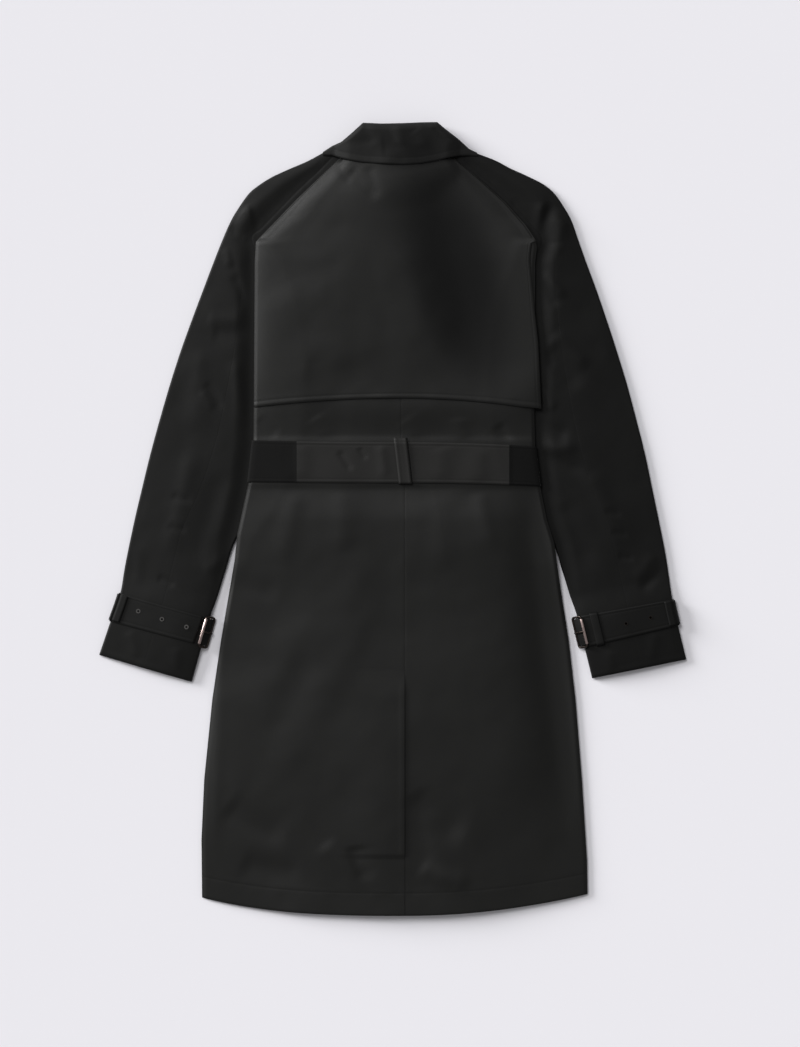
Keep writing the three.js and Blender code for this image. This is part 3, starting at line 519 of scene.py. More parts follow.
def make_belt_back(belt_cloth):
    """The belt over the back. Its ends drop round the coat's sides and turn in under them."""
    drop, turned = 5, 12
    end = drop + turned
    columns = spaced(2 * HALF_WIDTH + 2 * end, 2.8)
    rows = belt_rows()

    def place(a, m):
        mid = BELT_TOP - m
        way = a - end - HALF_WIDTH
        beyond = np.maximum(np.abs(way) - HALF_WIDTH, 0)
        side = np.sign(way)
        across = np.clip(way / HALF_WIDTH, -1, 1)
        x, y = body_point(across, mid)
        top = belt_level(across, x, y)
        foot = front_level(side, x, y) + 0.2
        radius = np.maximum((top - foot) / 2, 0.5)
        angle = np.clip(beyond / drop, 0, 1) * math.pi
        back_under = np.maximum(beyond - drop, 0)
        x = x + side * (1 + radius * 0.55 * np.sin(angle) - back_under)
        z = np.where(beyond > 0, foot + radius * (1 + np.cos(angle)), top)
        edge = np.minimum(m, BELT_TOP - BELT_FOOT - m)
        return x, y, z + hem_relief(edge, BELT_STITCH) * np.where(beyond > 0, 0.3, 1)

    belt = sheet_mesh("belt_back_cloth", [(columns, rows, place)], up_at=0.5)
    finish_piece(belt, belt_cloth, "belt_back")


def make_belt_front(belt_cloth):
    """The hidden stretch under the fronts."""
    reach = 0.94 * HALF_WIDTH
    columns = spaced(2 * reach, 7)

    def place(a, m):
        across = (a - reach) / HALF_WIDTH
        x, y = body_point(across, BELT_TOP - m)
        under = sleeve_lift(across, x, y) + 0.9 * BUTTON_PROP * overlap_prop(across)
        return x, y, under + 0.3 + CLOTH

    belt = sheet_mesh("belt_front_cloth", [(columns, belt_rows()[::2], place)])
    finish_piece(belt, belt_cloth, "belt_front")


def make_belt_loop(belt_cloth):
    """The loop lies over the belt and its ends are sewn to the back above and below it."""
    half, over, under = 8.5, 5.5, 2.2
    columns = spaced(2 * half, 1.7)
    rows = spaced(BELT_TOP - BELT_FOOT + over + under, 1.6)

    def place(a, m):
        aside = a - half
        mid = BELT_TOP + over - m
        x, y = body_point(np.zeros_like(a) + 0.001, mid)
        lean = 2.2 * m / rows[-1] - 1
        x = x + lean + aside
        on_belt = smooth((mid - BELT_FOOT + 2.2) / 2) * smooth((BELT_TOP + 2.5 - mid) / 3)
        level = back_level(0 * a, x, y) + TOP + CLOTH + on_belt * (LAYER + 1.3)
        level += 0.5 * np.exp(-((np.abs(aside) - 6.2) / 1.6) ** 2)
        return x, y, level - 1.1 * np.exp(-((half - np.abs(aside)) / 0.9) ** 2)

    loop = sheet_mesh("belt_loop_cloth", [(columns, rows, place)])
    finish_piece(loop, belt_cloth, "belt_loop")


# Sleeves: the last station's length down the sleeve, the hem's stitches over the cuff's edge, and
# the share of its widest cut that a tapering piece fills
LAST_STATION, CUFF_STITCH, TAPER = 42, 9, 0.84


def at_station(stations, v, key):
    """A column of the station table at v, in smooth steps between stations."""
    values = np.array([row[key] for row in stations], float)
    padded = np.concatenate([[2 * values[0] - values[1]], values, [2 * values[-1] - values[-2]]])
    v = np.clip(v, 0, len(values) - 1)
    i = np.minimum(np.floor(v).astype(int), len(values) - 2)
    t = v - i
    a, b, c, d = (padded[i + k] for k in range(4))
    return b + 0.5 * t * (c - a + t * (2 * a - 5 * b + 4 * c - d + t * (3 * (b - c) + d - a)))


SLEEVE_CREASES = {
    "left": (
        ((-183, 393), (-176, 370), (-170, 318), 13, 5, 3.2),
        ((-206, 366), (-194, 356), (-183, 348), 6, 6, -1.7),
        ((-204, 322), (-192, 292), (-181, 263), 7, 6, -2.1),
        ((-212, 340), (-202, 318), (-196, 296), 7, 5, 1.7),
        ((-226, 233), (-200, 228), (-174, 234), 9, 12, -1.7),
        ((-234, 250), (-208, 246), (-180, 252), 9, 9, 1.3),
        ((-246, 214), (-238, 160), (-246, 100), 15, 16, 1.9),
        ((-234, 170), (-222, 156), (-212, 134), 5, 5, -1.4),
        ((-240, 158), (-232, 148), (-224, 136), 4, 4, 1.2),
        ((-196, 200), (-190, 150), (-182, 110), 9, 8, 1.8),
        ((-276, 30), (-262, 20), (-250, 25), 5, 6, -1.3),
        ((-280, -8), (-268, -16), (-256, -12), 5, 5, -1.2),
        ((-294, -74), (-282, -76), (-272, -86), 5, 5, -1.2),
        ((-250, 90), (-262, 20), (-284, -52), 10, 13, 1.9),
        ((-210, 60), (-230, 0), (-250, -66), 14, 12, -1.7),
        ((-320, -30), (-318, -60), (-322, -84), 8, 8, 1.2),
        ((-200, -40), (-220, -60), (-238, -66), 8, 8, 1.3),
        ((-330, -140), (-322, -158), (-320, -176), 7, 7, 0.9),
        ((-270, -160), (-268, -178), (-272, -194), 8, 7, 0.9),
    ),
    "right": (
        ((198, 397), (188, 360), (176, 322), 6, 9, -4.2),
        ((188, 396), (180, 366), (172, 330), 8, 5, 2.6),
        ((216, 376), (206, 352), (198, 330), 11, 9, 1.9),
        ((181, 296), (196, 282), (206, 262), 6, 6, -2),
        ((186, 306), (204, 294), (216, 274), 7, 6, 1.7),
        ((186, 233), (194, 206), (200, 184), 6, 6, -1.9),
        ((193, 215), (214, 190), (236, 162), 15, 12, -2.6),
        ((200, 232), (224, 210), (244, 186), 9, 9, 2.1),
        ((181, 124), (198, 110), (222, 103), 10, 8, -2.9),
        ((183, 92), (205, 84), (232, 92), 8, 8, 2.5),
        ((184, 88), (206, 68), (242, 58), 10, 8, -2.8),
        ((188, 160), (194, 144), (204, 136), 6, 6, 1.4),
        ((262, 262), (274, 230), (280, 190), 12, 10, 1.5),
        ((246, 60), (262, 20), (290, -44), 11, 14, 1.9),
        ((210, 20), (232, -14), (250, -68), 12, 14, -1.9),
        ((266, 10), (276, 4), (286, 6), 4, 5, -1.2),
        ((274, -16), (284, -22), (294, -18), 4, 5, -1.2),
        ((282, -46), (292, -52), (302, -48), 4, 5, -1.2),
        ((341, -62), (326, -76), (307, -90), 6, 7, -2),
        ((330, -44), (318, -62), (300, -78), 8, 7, 1.4),
        ((330, -142), (324, -160), (322, -180), 7, 7, 0.9),
        ((272, -164), (270, -180), (276, -192), 8, 7, 0.9),
    ),
}


def sleeve_frame(stations, v):
    """A sleeve at v: its outer fold, its direction across, its span, how far its inner edge is a
    closed fold, and how high its underside lies."""
    out_x, out_y = at_station(stations, v, 0), at_station(stations, v, 1)
    in_x, in_y = at_station(stations, v, 2), at_station(stations, v, 3)
    closed = np.clip(at_station(stations, v, 4), 0, 1)
    base = LAYER * np.clip(at_station(stations, v, 5), 0, 1)
    span = np.hypot(in_x - out_x, in_y - out_y)
    return out_x, out_y, (in_x - out_x) / span, (in_y - out_y) / span, span, closed, base


def free_of_body(side, x, y):
    """How far a point of a sleeve is outside the body that lies over it, 0 to 1."""
    edge = read_at(LEFT_EDGE if side == "left" else RIGHT_EDGE, y)
    beyond = (edge - x) if side == "left" else (x - edge)
    return smooth((beyond - 3) / (22 + 26 * smooth((y - 320) / 50)))


def sleeve_top(side, v, across, rise):
    """Top of a sleeve at a distance across from its outer fold: rounded folds, air and creases."""
    stations = SLEEVES[side]
    out_x, out_y, dir_x, dir_y, span, closed, base = sleeve_frame(stations, v)
    x, y = out_x + dir_x * across, out_y + dir_y * across
    free = free_of_body(side, x, y)
    radius = SLEEVE_HEIGHT / 2
    outer = np.clip((radius - across) / radius, 0, 1)
    inner = np.clip((across - span + radius) / radius, 0, 1) * closed
    rounded = radius * (2 - (1 - np.sqrt(1 - outer ** 2)) - (1 - np.sqrt(1 - inner ** 2)))
    t = np.clip(across / span, 0, 1)
    air = SLEEVE_AIR * np.sin(math.pi * t ** 1.4) ** 0.7 * free
    seamed = 1 - closed
    air = air * (1 - seamed * smooth(1 - (span - across) / (0.7 * span)))
    air = air + 0.7 * seamed * smooth(1 - (span - across) / 30)
    creases = 0.7 * crease_height(x, y, SLEEVE_CREASES[side]) * free * np.minimum(1, 5 * t)
    soft = (0.5 * rumple(x, y, 36, 31) + 0.14 * rumple(x, y, 15, 32)) * free
    soft = soft * smooth(across / 14)
    lift = np.maximum(air + creases + soft, -1.6 * smooth(across / 12))
    seam = 0.1 * stitch_dip(np.abs(across - span * SLEEVE_SEAM), x, y) * smooth(across / 8)
    return x, y, base + rounded + lift + seam * free + rise


def make_sleeve(side, cloth):
    """A sleeve's back and front piece, which meet in the seam along its top."""
    stations = SLEEVES[side]
    cuff = len(stations) - 1
    shoulder, hem = 8, cuff - 0.9
    rows = np.concatenate([
        np.arange(0, shoulder, 0.085), np.arange(shoulder, hem, 0.075), np.linspace(hem, cuff, 16),
    ])

    def hemmed(v, x, y, z):
        """The cuff's hem, turned in and stitched."""
        foot = (cuff - v) * LAST_STATION
        return x, y, z + hem_relief(foot, CUFF_STITCH) * smooth((20 - foot) / 4)

    def back(p, v):
        """p runs from the sleeve's seam, 0, to the raglan seam or inner fold, 1, and on under it."""
        out_x, out_y, dir_x, dir_y, span, closed, base = sleeve_frame(stations, v)
        lapped = 4 * (1 - closed)
        first = span * SLEEVE_SEAM - SEAM_LAP
        across = first + (span + lapped - first) * np.minimum(p, 1)
        x, y, z = sleeve_top(side, v, across, 0)
        z = z - 0.05 * smooth((first + SEAM_LAP * 1.6 - across) / SEAM_LAP)
        raglan = (1 - closed) * smooth(v + 0.5)
        inward = span - across
        plateau = 0.35 * smooth((RAGLAN_STITCH + 1.5 - inward) / 2.5)
        z = z + raglan * (plateau + 0.7 * stitch_dip(inward - RAGLAN_STITCH, x, y))
        under = np.maximum(p - 1, 0)
        fold = under * 14 * closed
        x = np.where(p > 1, x - dir_x * fold, x)
        y = np.where(p > 1, y - dir_y * fold, y)
        z = np.where(p > 1, z - (SLEEVE_HEIGHT / 2) * (1 - np.exp(-under * 9)) * closed, z)
        return hemmed(v, x, y, z)

    def front(p, v):
        """p runs from the seam, 0, to the outer fold, 1, and back under to the inner fold, 3."""
        out_x, out_y, dir_x, dir_y, span, closed, base = sleeve_frame(stations, v)
        across = span * SLEEVE_SEAM * np.clip(1 - p, 0, 1) ** 1.25
        x, y, z = sleeve_top(side, v, np.maximum(across, 0), 0)
        below = np.clip((p - 1) / 2, 0, 1)
        beneath = below * (span - 2.2)
        turned = np.clip(1 - beneath / 3.2, 0, 1)
        depth = SLEEVE_HEIGHT / 2 * np.sqrt(np.clip(1 - turned ** 2, 0, 1))
        under_x, under_y = out_x + dir_x * beneath, out_y + dir_y * beneath
        slack = 0.25 * (1 + rumple(under_x, under_y, 33, 41)) * smooth((beneath - 8) / 20)
        level = base + SLEEVE_HEIGHT / 2 - depth + slack
        x = np.where(p > 1, under_x, x)
        y = np.where(p > 1, under_y, y)
        z = np.where(p > 1, level, z)
        return hemmed(v, x, y, z)

    back_columns = np.concatenate([
        [0, 0.012, 0.024, 0.036, 0.05], np.linspace(0.075, 0.9, 28), np.linspace(0.915, 1, 10),
        np.linspace(1.06, 1.6, 8),
    ])
    front_columns = np.concatenate([
        [0, 0.0025, 0.01], np.linspace(0.03, 0.8, 24), np.linspace(0.83, 1, 12),
        [1.008, 1.02, 1.036, 1.06, 1.1], np.linspace(1.16, 3, 26),
    ])
    for name, place, columns, width, rests in (
        ("back", back, back_columns, 0.078, f"sleeve_front_{side}_cloth"),
        ("front", front, front_columns, 0.19, ()),
    ):
        piece = sheet_mesh(f"sleeve_{name}_{side}_cloth", [(columns, rows, place)])
        finish_piece(piece, cloth, f"sleeve_{name}_{side}")


# Cuff straps, their loops, keeper and buckles
STRAP_END = {"left": 9, "right": 3}
STRAP_RISE = 1.9
LOOP_RISE = STRAP_RISE + 1.7
STRAP_STITCH = 4.2
KEEPER = {"from": 19.96, "to": 21.04, "width": 10, "before_end": 25}


def make_strap_band(name, side, v_span, ends, rise, material, node, cloth=CLOTH, stitch=0):
    """A band across the cuff's top, round its outer fold and back under it. ends are the distances
    from the outer fold at which it starts on top and stops underneath. With 0 it stops at the fold."""
    stations = SLEEVES[side]
    top_end, under_end = ends
    turn = 8
    on_top = np.linspace(0, top_end, max(6, int(top_end / 2.4)))
    if under_end:
        folded = np.linspace(0.8, turn, 9)
        underneath = turn + np.linspace(2, under_end, int(under_end / 4))
    else:
        folded, underneath = np.linspace(0.8, 0.75 * turn, 7), []
    columns = np.concatenate([on_top, top_end + folded, top_end + np.array(underneath)])
    width = (v_span[1] - v_span[0]) * 40
    rows = spaced(width, 1.8, ("start", "end") if stitch else ())

    def place(a, m):
        v = v_span[0] + (v_span[1] - v_span[0]) * m / width
        across = np.maximum(top_end - a, 0)
        x, y, z = sleeve_top(side, v, across, rise)
        out_x, out_y, dir_x, dir_y, span, closed, base = sleeve_frame(stations, v)
        angle = np.clip((a - top_end) / turn, 0, 1) * math.pi
        radius = SLEEVE_HEIGHT / 2 + rise
        beneath = np.maximum(a - top_end - turn, 0)
        middle = base + SLEEVE_HEIGHT / 2
        turned = a > top_end
        aside = np.where(turned, -rise * np.sin(angle) * 0.9 + beneath, 0)
        x = np.where(turned, out_x + dir_x * aside, x)
        y = np.where(turned, out_y + dir_y * aside, y)
        low = np.where(angle < math.pi / 2, radius, np.minimum(radius, middle - 0.1))
        z = np.where(turned, middle + low * np.cos(angle), z)
        inward = np.minimum(m, width - m)
        relief = hem_relief(inward, stitch) if stitch else 0
        return x, y, z + relief * np.where(turned, 0.2, 1)

    band = sheet_mesh(name, [(columns, rows, place)], cloth)
    finish_piece(band, material, node)


def cuff_span(side):
    """Distance from the outer fold to the inner one at the middle of the cuff strap."""
    return sleeve_frame(SLEEVES[side], np.array([STRAP_MIDDLE]))[4][0]


def make_cuff(side, cloth):
    """The cuff strap and the short loop that holds it at the sleeve's outer fold."""
    span = cuff_span(side)
    make_strap_band(
        f"cuff_strap_{side}_cloth", side, (STRAP_FROM + 0.02, STRAP_TO - 0.02),
        (span - STRAP_END[side], span - 6), STRAP_RISE, cloth, f"cuff_strap_{side}",
        stitch=STRAP_STITCH,
    )
    make_strap_band(
        f"strap_loop_{side}_cloth", side, (STRAP_FROM + 0.06, STRAP_TO - 0.06), (11, 0), LOOP_RISE,
        cloth, f"strap_loop_{side}", LOOP_CLOTH,
    )


def make_keeper(cloth):
    """A band across the right strap, next to its buckle."""
    first, last, width = KEEPER["from"], KEEPER["to"], KEEPER["width"]
    rows = np.linspace(first, last, 30)
    columns = np.linspace(0, width, 9)

    def place(a, v):
        span = sleeve_frame(RIGHT_SLEEVE, v)[4]
        x, y, z = sleeve_top("right", v, span - KEEPER["before_end"] + a, LOOP_RISE)
        ends = smooth((0.06 - np.minimum(v - first, last - v)) / 0.06)
        return x, y, z - 2.4 * ends + 0.35 * np.sin(math.pi * a / width)

    keeper = sheet_mesh("keeper_right_cloth", [(columns, rows, place)], LOOP_CLOTH)
    finish_piece(keeper, cloth, "keeper_right")


BUCKLE = {
    "length": 41, "width": 16.5, "bar": 2.6, "corner": 4.5, "tilt": 45, "beyond": 1.3, "low": 7.6,
}
PRONG = {"length": 15, "width": 1.9, "thick": 1.6}


def buckle_place(side):
    """A cuff buckle's place: along the sleeve's inner edge, tilted so that its upper bar shows."""
    row = SLEEVES[side]
    start = Vector((row[STRAP_FROM][2], row[STRAP_FROM][3], 0))
    end = Vector((row[STRAP_TO][2], row[STRAP_TO][3], 0))
    along = (end - start).normalized()
    outward = along.cross(Vector((0, 0, 1)))
    outward *= math.copysign(1, outward.x) * (1 if side == "left" else -1)
    tilt = math.radians(BUCKLE["tilt"])
    slant = -outward * math.cos(tilt) + Vector((0, 0, math.sin(tilt)))
    face = along.cross(slant)
    middle = (start + end) / 2 + outward * BUCKLE["beyond"]
    middle.z = BUCKLE["low"]
    turn = Matrix((along, slant, face)).transposed().to_4x4()
    outside = math.copysign(1, face.dot(outward + Vector((0, 0, 1))))
    return Matrix.Translation(middle) @ turn, outside


def rounded_bar(bm, length, thick, matrix):
    """A bar along X with rounded edges."""
    made = bmesh.ops.create_cube(bm, size=1)["verts"]
    bmesh.ops.scale(bm, vec=(length, thick[0], thick[1]), verts=made)
    edges = list({edge for vert in made for edge in vert.link_edges})
    bevelled = bmesh.ops.bevel(
        bm, geom=edges, offset=min(thick) * 0.27, affect="EDGES", segments=3, profile=0.5,
        material=-1, clamp_overlap=True,
    )
    verts = {vert for face in bevelled["faces"] for vert in face.verts}
    verts |= {vert for vert in made if vert.is_valid}
    bmesh.ops.transform(bm, matrix=matrix, verts=list(verts))


def rounded_frame(bm, length, width, thick, bar, corner, place):
    """A flat frame with round corners: a plate whose two faces are inset and joined through."""
    made = bmesh.ops.create_cube(bm, size=1)["verts"]
    bmesh.ops.scale(bm, vec=(length, width, thick), verts=made)
    upright = {
        edge for vert in made for edge in vert.link_edges
        if abs((edge.verts[0].co - edge.verts[1].co).z) > thick * 0.9
    }
    bmesh.ops.bevel(
        bm, geom=list(upright), offset=corner, affect="EDGES", segments=6, profile=0.5, material=-1
    )
    plate = [face for face in bm.faces if abs(face.normal.z) > 0.9 and len(face.verts) > 8]
    bmesh.ops.inset_region(bm, faces=plate, thickness=bar, depth=0, use_even_offset=True)
    windows = [edge for face in plate for edge in face.edges]
    bmesh.ops.delete(bm, geom=plate, context="FACES_ONLY")
    bmesh.ops.bridge_loops(bm, edges=windows)
    bmesh.ops.recalc_face_normals(bm, faces=bm.faces)
    sharp = [edge for edge in bm.edges if edge.calc_face_angle(0) > 1]
    bmesh.ops.bevel(
        bm, geom=sharp, offset=thick * 0.22, affect="EDGES", segments=3, profile=0.5, material=-1,
        clamp_overlap=True,
    )
    bmesh.ops.transform(bm, matrix=place, verts=bm.verts)


def to_metres(bm):
    bmesh.ops.scale(bm, vec=(MM, MM, MM), verts=bm.verts)


def make_buckle(side, metal, dark_metal, cloth):
    """A round-cornered frame with its bar, a roller along its upper side in a far lighter copy of the
    frame's metal as a painted highlight, the strap that turns back round the bar, and the prong."""
    place, outside = buckle_place(side)
    length, width, bar = BUCKLE["length"], BUCKLE["width"], BUCKLE["bar"]
    bm = bmesh.new()
    rounded_frame(bm, length, width, bar, bar, BUCKLE["corner"], place)
    rounded_bar(bm, length - bar, (bar * 0.7, bar * 0.7), place)
    to_metres(bm)
    finish_piece(to_piece(f"cuff_buckle_{side}_metal", bm), dark_metal, f"cuff_buckle_{side}")

    bm = bmesh.new()
    upper_side = Matrix.Translation((0, (width - bar) / 2, 0))
    bmesh.ops.create_cone(
        bm, cap_ends=True, segments=24, radius1=bar * 0.72, radius2=bar * 0.72, depth=length - 9,
        matrix=place @ upper_side @ Matrix.Rotation(math.pi / 2, 4, "Y"),
    )
    rims = [edge for edge in bm.edges if edge.calc_face_angle(0) > 1]
    bmesh.ops.bevel(bm, geom=rims, offset=0.4, affect="EDGES", segments=2, profile=0.5, material=-1)
    to_metres(bm)
    finish_piece(to_piece(f"cuff_roller_{side}", bm), metal)

    bm = bmesh.new()
    rounded_bar(bm, length - 2.6 * bar, (width - 2.4 * bar, 1.9), place)
    to_metres(bm)
    finish_piece(to_piece(f"strap_turn_{side}", bm), cloth)

    bm = bmesh.new()
    on_bar = Matrix.Translation((0, 0, outside * (bar / 2 + 1.1)))
    across = Matrix.Rotation(math.pi / 2, 4, "Z")
    rounded_bar(bm, PRONG["length"], (PRONG["width"], PRONG["thick"]), place @ on_bar @ across)
    to_metres(bm)
    finish_piece(to_piece(f"cuff_prong_{side}_metal", bm), dark_metal, f"cuff_prong_{side}")


EYELETS = {
    "left": ((-317.5, -115.7), (-287.8, -125.7), (-257.2, -135.4)),
    "right": ((291.5, -131.1), (322.2, -123.7)),
}


def make_eyelets(side, metal, dark):
    """Small dull rings in the strap, each round a near-black disc of painted shade where its hole is.
    """
    rim, hole = (2.8, 1.4) if side == "left" else (2.2, 1.7)
    rings, shade_discs = bmesh.new(), bmesh.new()
    for x, y in EYELETS[side]:
        level = strap_level(side, x, y) + 0.15
        for bm, radius, rise in ((rings, rim, 0), (shade_discs, hole, 0.42)):
            disc = bmesh.ops.create_circle(bm, cap_ends=True, radius=radius, segments=20)["verts"]
            bmesh.ops.translate(bm, vec=(x, y, level + rise), verts=disc)
            bm.normal_update()
            face = disc[0].link_faces[0]
            if face.normal.z < 0:
                bmesh.ops.reverse_faces(bm, faces=[face])
            if bm is rings:
                bmesh.ops.inset_region(
                    bm, faces=[face], thickness=0.5, depth=0.4, use_even_offset=True
                )
    for bm, name, material in ((rings, "eyelets", metal), (shade_discs, "eyelet_shade_discs", dark)):
        to_metres(bm)
        finish_piece(to_piece(f"{name}_{side}", bm), material)


def strap_level(side, x, y):
    """Top of a cuff strap over a point in plan, from the nearest place on it."""
    stations = np.linspace(STRAP_FROM, STRAP_TO, 41)
    v, across = np.meshgrid(stations, np.linspace(0, cuff_span(side), 120))
    near_x, near_y, level = sleeve_top(side, v.ravel(), across.ravel(), STRAP_RISE)
    return float(level[np.argmin(np.hypot(near_x - x, near_y - y))])


# Collar
COLLAR_CREASES = (
    ((-37, 490), (-30, 480), (-21, 466), 6, 5, -0.8),
    ((-66, 470), (-44, 468), (-22, 471), 6, 6, -0.7),
    ((-14, 462), (2, 463), (10, 470), 14, 10, -0.9),
    ((6, 488), (10, 478), (8, 462), 7, 8, 0.9),
    ((52, 490), (60, 480), (74, 468), 5, 6, -1),
    ((30, 486), (38, 476), (36, 460), 9, 9, 0.8),
)


def flap_top(x, y):
    """Top of the storm flap over a point in plan."""
    centre = read_at(CENTRE_LINE, y)
    edge = np.where(x < centre, read_at(LEFT_EDGE, y), read_at(RIGHT_EDGE, y))
    across = np.clip((x - centre) / np.abs(edge - centre), -1, 1)
    inward = (1 - np.abs(across)) * HALF_WIDTH
    return (back_level(across, x, y) + LAYER + TOP - raglan_drop(inward)) * (inward > 0)


def along_collar(stations, x, key):
    return np.interp(x, *np.array(column(stations, 0, key), float).T)


def make_collar_fall(cloth):
    """The turned-over leaf: from its free edge up to the fold, and back down under itself."""
    xs = np.array([row[0] for row in COLLAR], float)
    width = xs[-1] - xs[0]
    columns = spaced(width, 2, ("start", "end"))

    def place(a, p):
        """p runs from the free edge, 0, up to the fold, 1, round it, 1.3, and back down, 2."""
        x = xs[0] + a
        low, top, level, foot = (along_collar(COLLAR, x, key) for key in (1, 2, 3, 4))
        level = np.maximum(level + TOP, flap_top(x, np.full_like(x, NECK - 2.0)) + CLOTH + 0.7)
        radius = np.minimum((level - foot) / 2, (top - low) / 2.1)
        middle = top - radius
        rise = np.clip(p, 0, 1) * (middle - low)
        y = low + rise
        share = a / width
        loose = smooth(share / 0.12) * smooth((1 - share) / 0.12)
        crown = 1.6 * smooth(np.clip(p, 0, 1) * 0.95)
        z = level + loose * (crown + crease_height(x, y, COLLAR_CREASES))
        z = z + hem_relief(rise, COLLAR_STITCH) + 0.6 * loose * rumple(x, y, 21, 51)
        angle = np.clip((p - 1) / 0.3, 0, 1) * math.pi
        raised = (z - foot) / 2
        y = np.where(p > 1, middle + radius * np.sin(angle), y)
        z = np.where(p > 1, foot + raised * (1 + np.cos(angle)), z)
        back = np.clip((p - 1.3) / 0.7, 0, 1) * (middle - low) * 0.33
        return x, y - back, z

    edge = np.array([0, 0.4, 1, 1.7, 2.6, 3.6, 4.8, 6, 7, 7.6, 8.2, 9, 10.4])
    rows = np.concatenate([
        edge / 48, np.arange(12.4, 46, 2) / 48, np.linspace(0.965, 1, 3),
        np.linspace(1.02, 1.3, 12), np.linspace(1.4, 2, 5),
    ])
    fall = sheet_mesh("collar_fall_cloth", [(columns, rows, place)])
    finish_piece(fall, cloth, "collar_fall")


def make_collar_stand(cloth):
    """The part of the stand that stays under the fall, between the collar's two slopes."""
    inner = [row for row in COLLAR if row[4] <= 1]
    first, last = inner[0][0], inner[-1][0]
    columns = spaced(last - first, 4)

    def place(a, p):
        x = first + a
        low, top, level = (along_collar(inner, x, key) for key in (1, 2, 3))
        start = np.maximum(low + 9, 454.5)
        return x, start + (top - 9 - start) * p, level - 0.4

    stand = sheet_mesh("collar_stand_cloth", [(columns, np.linspace(0, 1, 9), place)])
    finish_piece(stand, cloth, "collar_stand")


# Fastenings of the hidden fronts
BUTTON = {"radius": 11, "height": 2.6, "round": 0.7, "rim": 1.4, "slope": 0.9, "dish": 0.6, "x": 13}
BUTTON_HEIGHTS = (280, 190, -20, -120, -230)
FRONT_BUCKLE = {"length": 56, "width": 64, "bar": 6, "height": 2.4, "y": 70}


def make_buttons(plastic):
    """Five round buttons under the fronts, each with a dished outer face."""
    for number, y in enumerate(BUTTON_HEIGHTS, 1):
        bm = bmesh.new()
        disc = bmesh.ops.create_circle(bm, cap_ends=True, radius=BUTTON["radius"], segments=48)
        made = bmesh.ops.extrude_face_region(bm, geom=disc["verts"][0].link_faces[:])["geom"]
        raised = [part for part in made if isinstance(part, bmesh.types.BMVert)]
        bmesh.ops.translate(bm, vec=(0, 0, BUTTON["height"]), verts=raised)
        bmesh.ops.recalc_face_normals(bm, faces=bm.faces)
        rim = next(face for face in bm.faces if face.normal.z < -0.9).edges[:]
        bmesh.ops.bevel(
            bm, geom=rim, offset=BUTTON["round"], affect="EDGES", segments=3, profile=0.5,
            material=-1,
        )
        outer = next(face for face in bm.faces if face.normal.z < -0.99)
        bmesh.ops.inset_region(bm, faces=[outer], thickness=BUTTON["rim"], depth=0)
        bmesh.ops.inset_region(bm, faces=[outer], thickness=BUTTON["slope"], depth=-BUTTON["dish"])
        bmesh.ops.translate(bm, vec=(BUTTON["x"], y, 0), verts=bm.verts)
        to_metres(bm)
        finish_piece(to_piece(f"button_{number}_plastic", bm), plastic, f"button_{number}")


def make_front_buckle(metal):
    """The belt's buckle: a frame with a middle bar, of five bars."""
    length, width, bar = FRONT_BUCKLE["length"], FRONT_BUCKLE["width"], FRONT_BUCKLE["bar"]
    thick = (bar, FRONT_BUCKLE["height"])
    place = Matrix.Translation((BUTTON["x"], FRONT_BUCKLE["y"], FRONT_BUCKLE["height"] / 2))
    quarter = Matrix.Rotation(math.pi / 2, 4, "Z")
    bm = bmesh.new()
    for y in (-(width - bar) / 2, 0, (width - bar) / 2):
        rounded_bar(bm, length, thick, place @ Matrix.Translation((0, y, 0)))
    for x in (-(length - bar) / 2, (length - bar) / 2):
        rounded_bar(bm, width, thick, place @ Matrix.Translation((x, 0, 0)) @ quarter)
    to_metres(bm)
    finish_piece(to_piece("belt_buckle_metal", bm), metal, "belt_buckle")


# Materials
class Value:
    """A socket of a material's nodes. Sums, differences and products of it read as expressions."""

    def __init__(self, tree, socket):
        self.tree = tree
        self.socket = socket

    def node(self, kind, settings=None, output=0, **inputs):
        """Any node: its type, its settings, and its sockets by name or as i and a number."""
        made = self.tree.nodes.new(kind)
        for key, value in (settings or {}).items():
            setattr(made, key, value)
        for key, value in inputs.items():
            numbered = key[0] == "i" and key[1:].isdigit()
            target = made.inputs[int(key[1:]) if numbered else key.replace("_", " ")]
            if isinstance(value, Value):
                self.tree.links.new(value.socket, target)
            else:
                target.default_value = value
        return Value(self.tree, made.outputs[output])

    def maths(self, operation, *values):
        inputs = {f"i{i}": value for i, value in enumerate(values)}
        return self.node("ShaderNodeMath", {"operation": operation}, **inputs)

    def __add__(self, other):
        return self.maths("ADD", self, other)

    def __radd__(self, other):
        return self.maths("ADD", other, self)

    def __sub__(self, other):
        return self.maths("SUBTRACT", self, other)

    def __rsub__(self, other):
        return self.maths("SUBTRACT", other, self)

    def __mul__(self, other):
        return self.maths("MULTIPLY", self, other)

    def __rmul__(self, other):
        return self.maths("MULTIPLY", other, self)

    def __gt__(self, other):
        return self.maths("GREATER_THAN", self, other)

    def __lt__(self, other):
        return self.maths("LESS_THAN", self, other)


def new_material(name):
    """A material, its node tree, its shader and its place, which is the part's own coordinates."""
    material = bpy.data.materials.new(name)
    material.use_nodes = True
    tree = material.node_tree
    shader = tree.nodes["Principled BSDF"]
    place = Value(tree, None).node("ShaderNodeTexCoord", output="Object")
    return material, tree, shader, place


def feed(tree, shader, name, value):
    tree.links.new(value.socket, shader.inputs[name])


# Patches of painted shade on the body's cloth, darker and rougher there: middle x and y, half width and
# height, lean and strength
PAINTED_SHADE_PATCHES = ((78, 304, 84, 185, -0.25, 0.92), (12, 474, 130, 46, 0, 0.6))
RIB_PITCH = 1.1


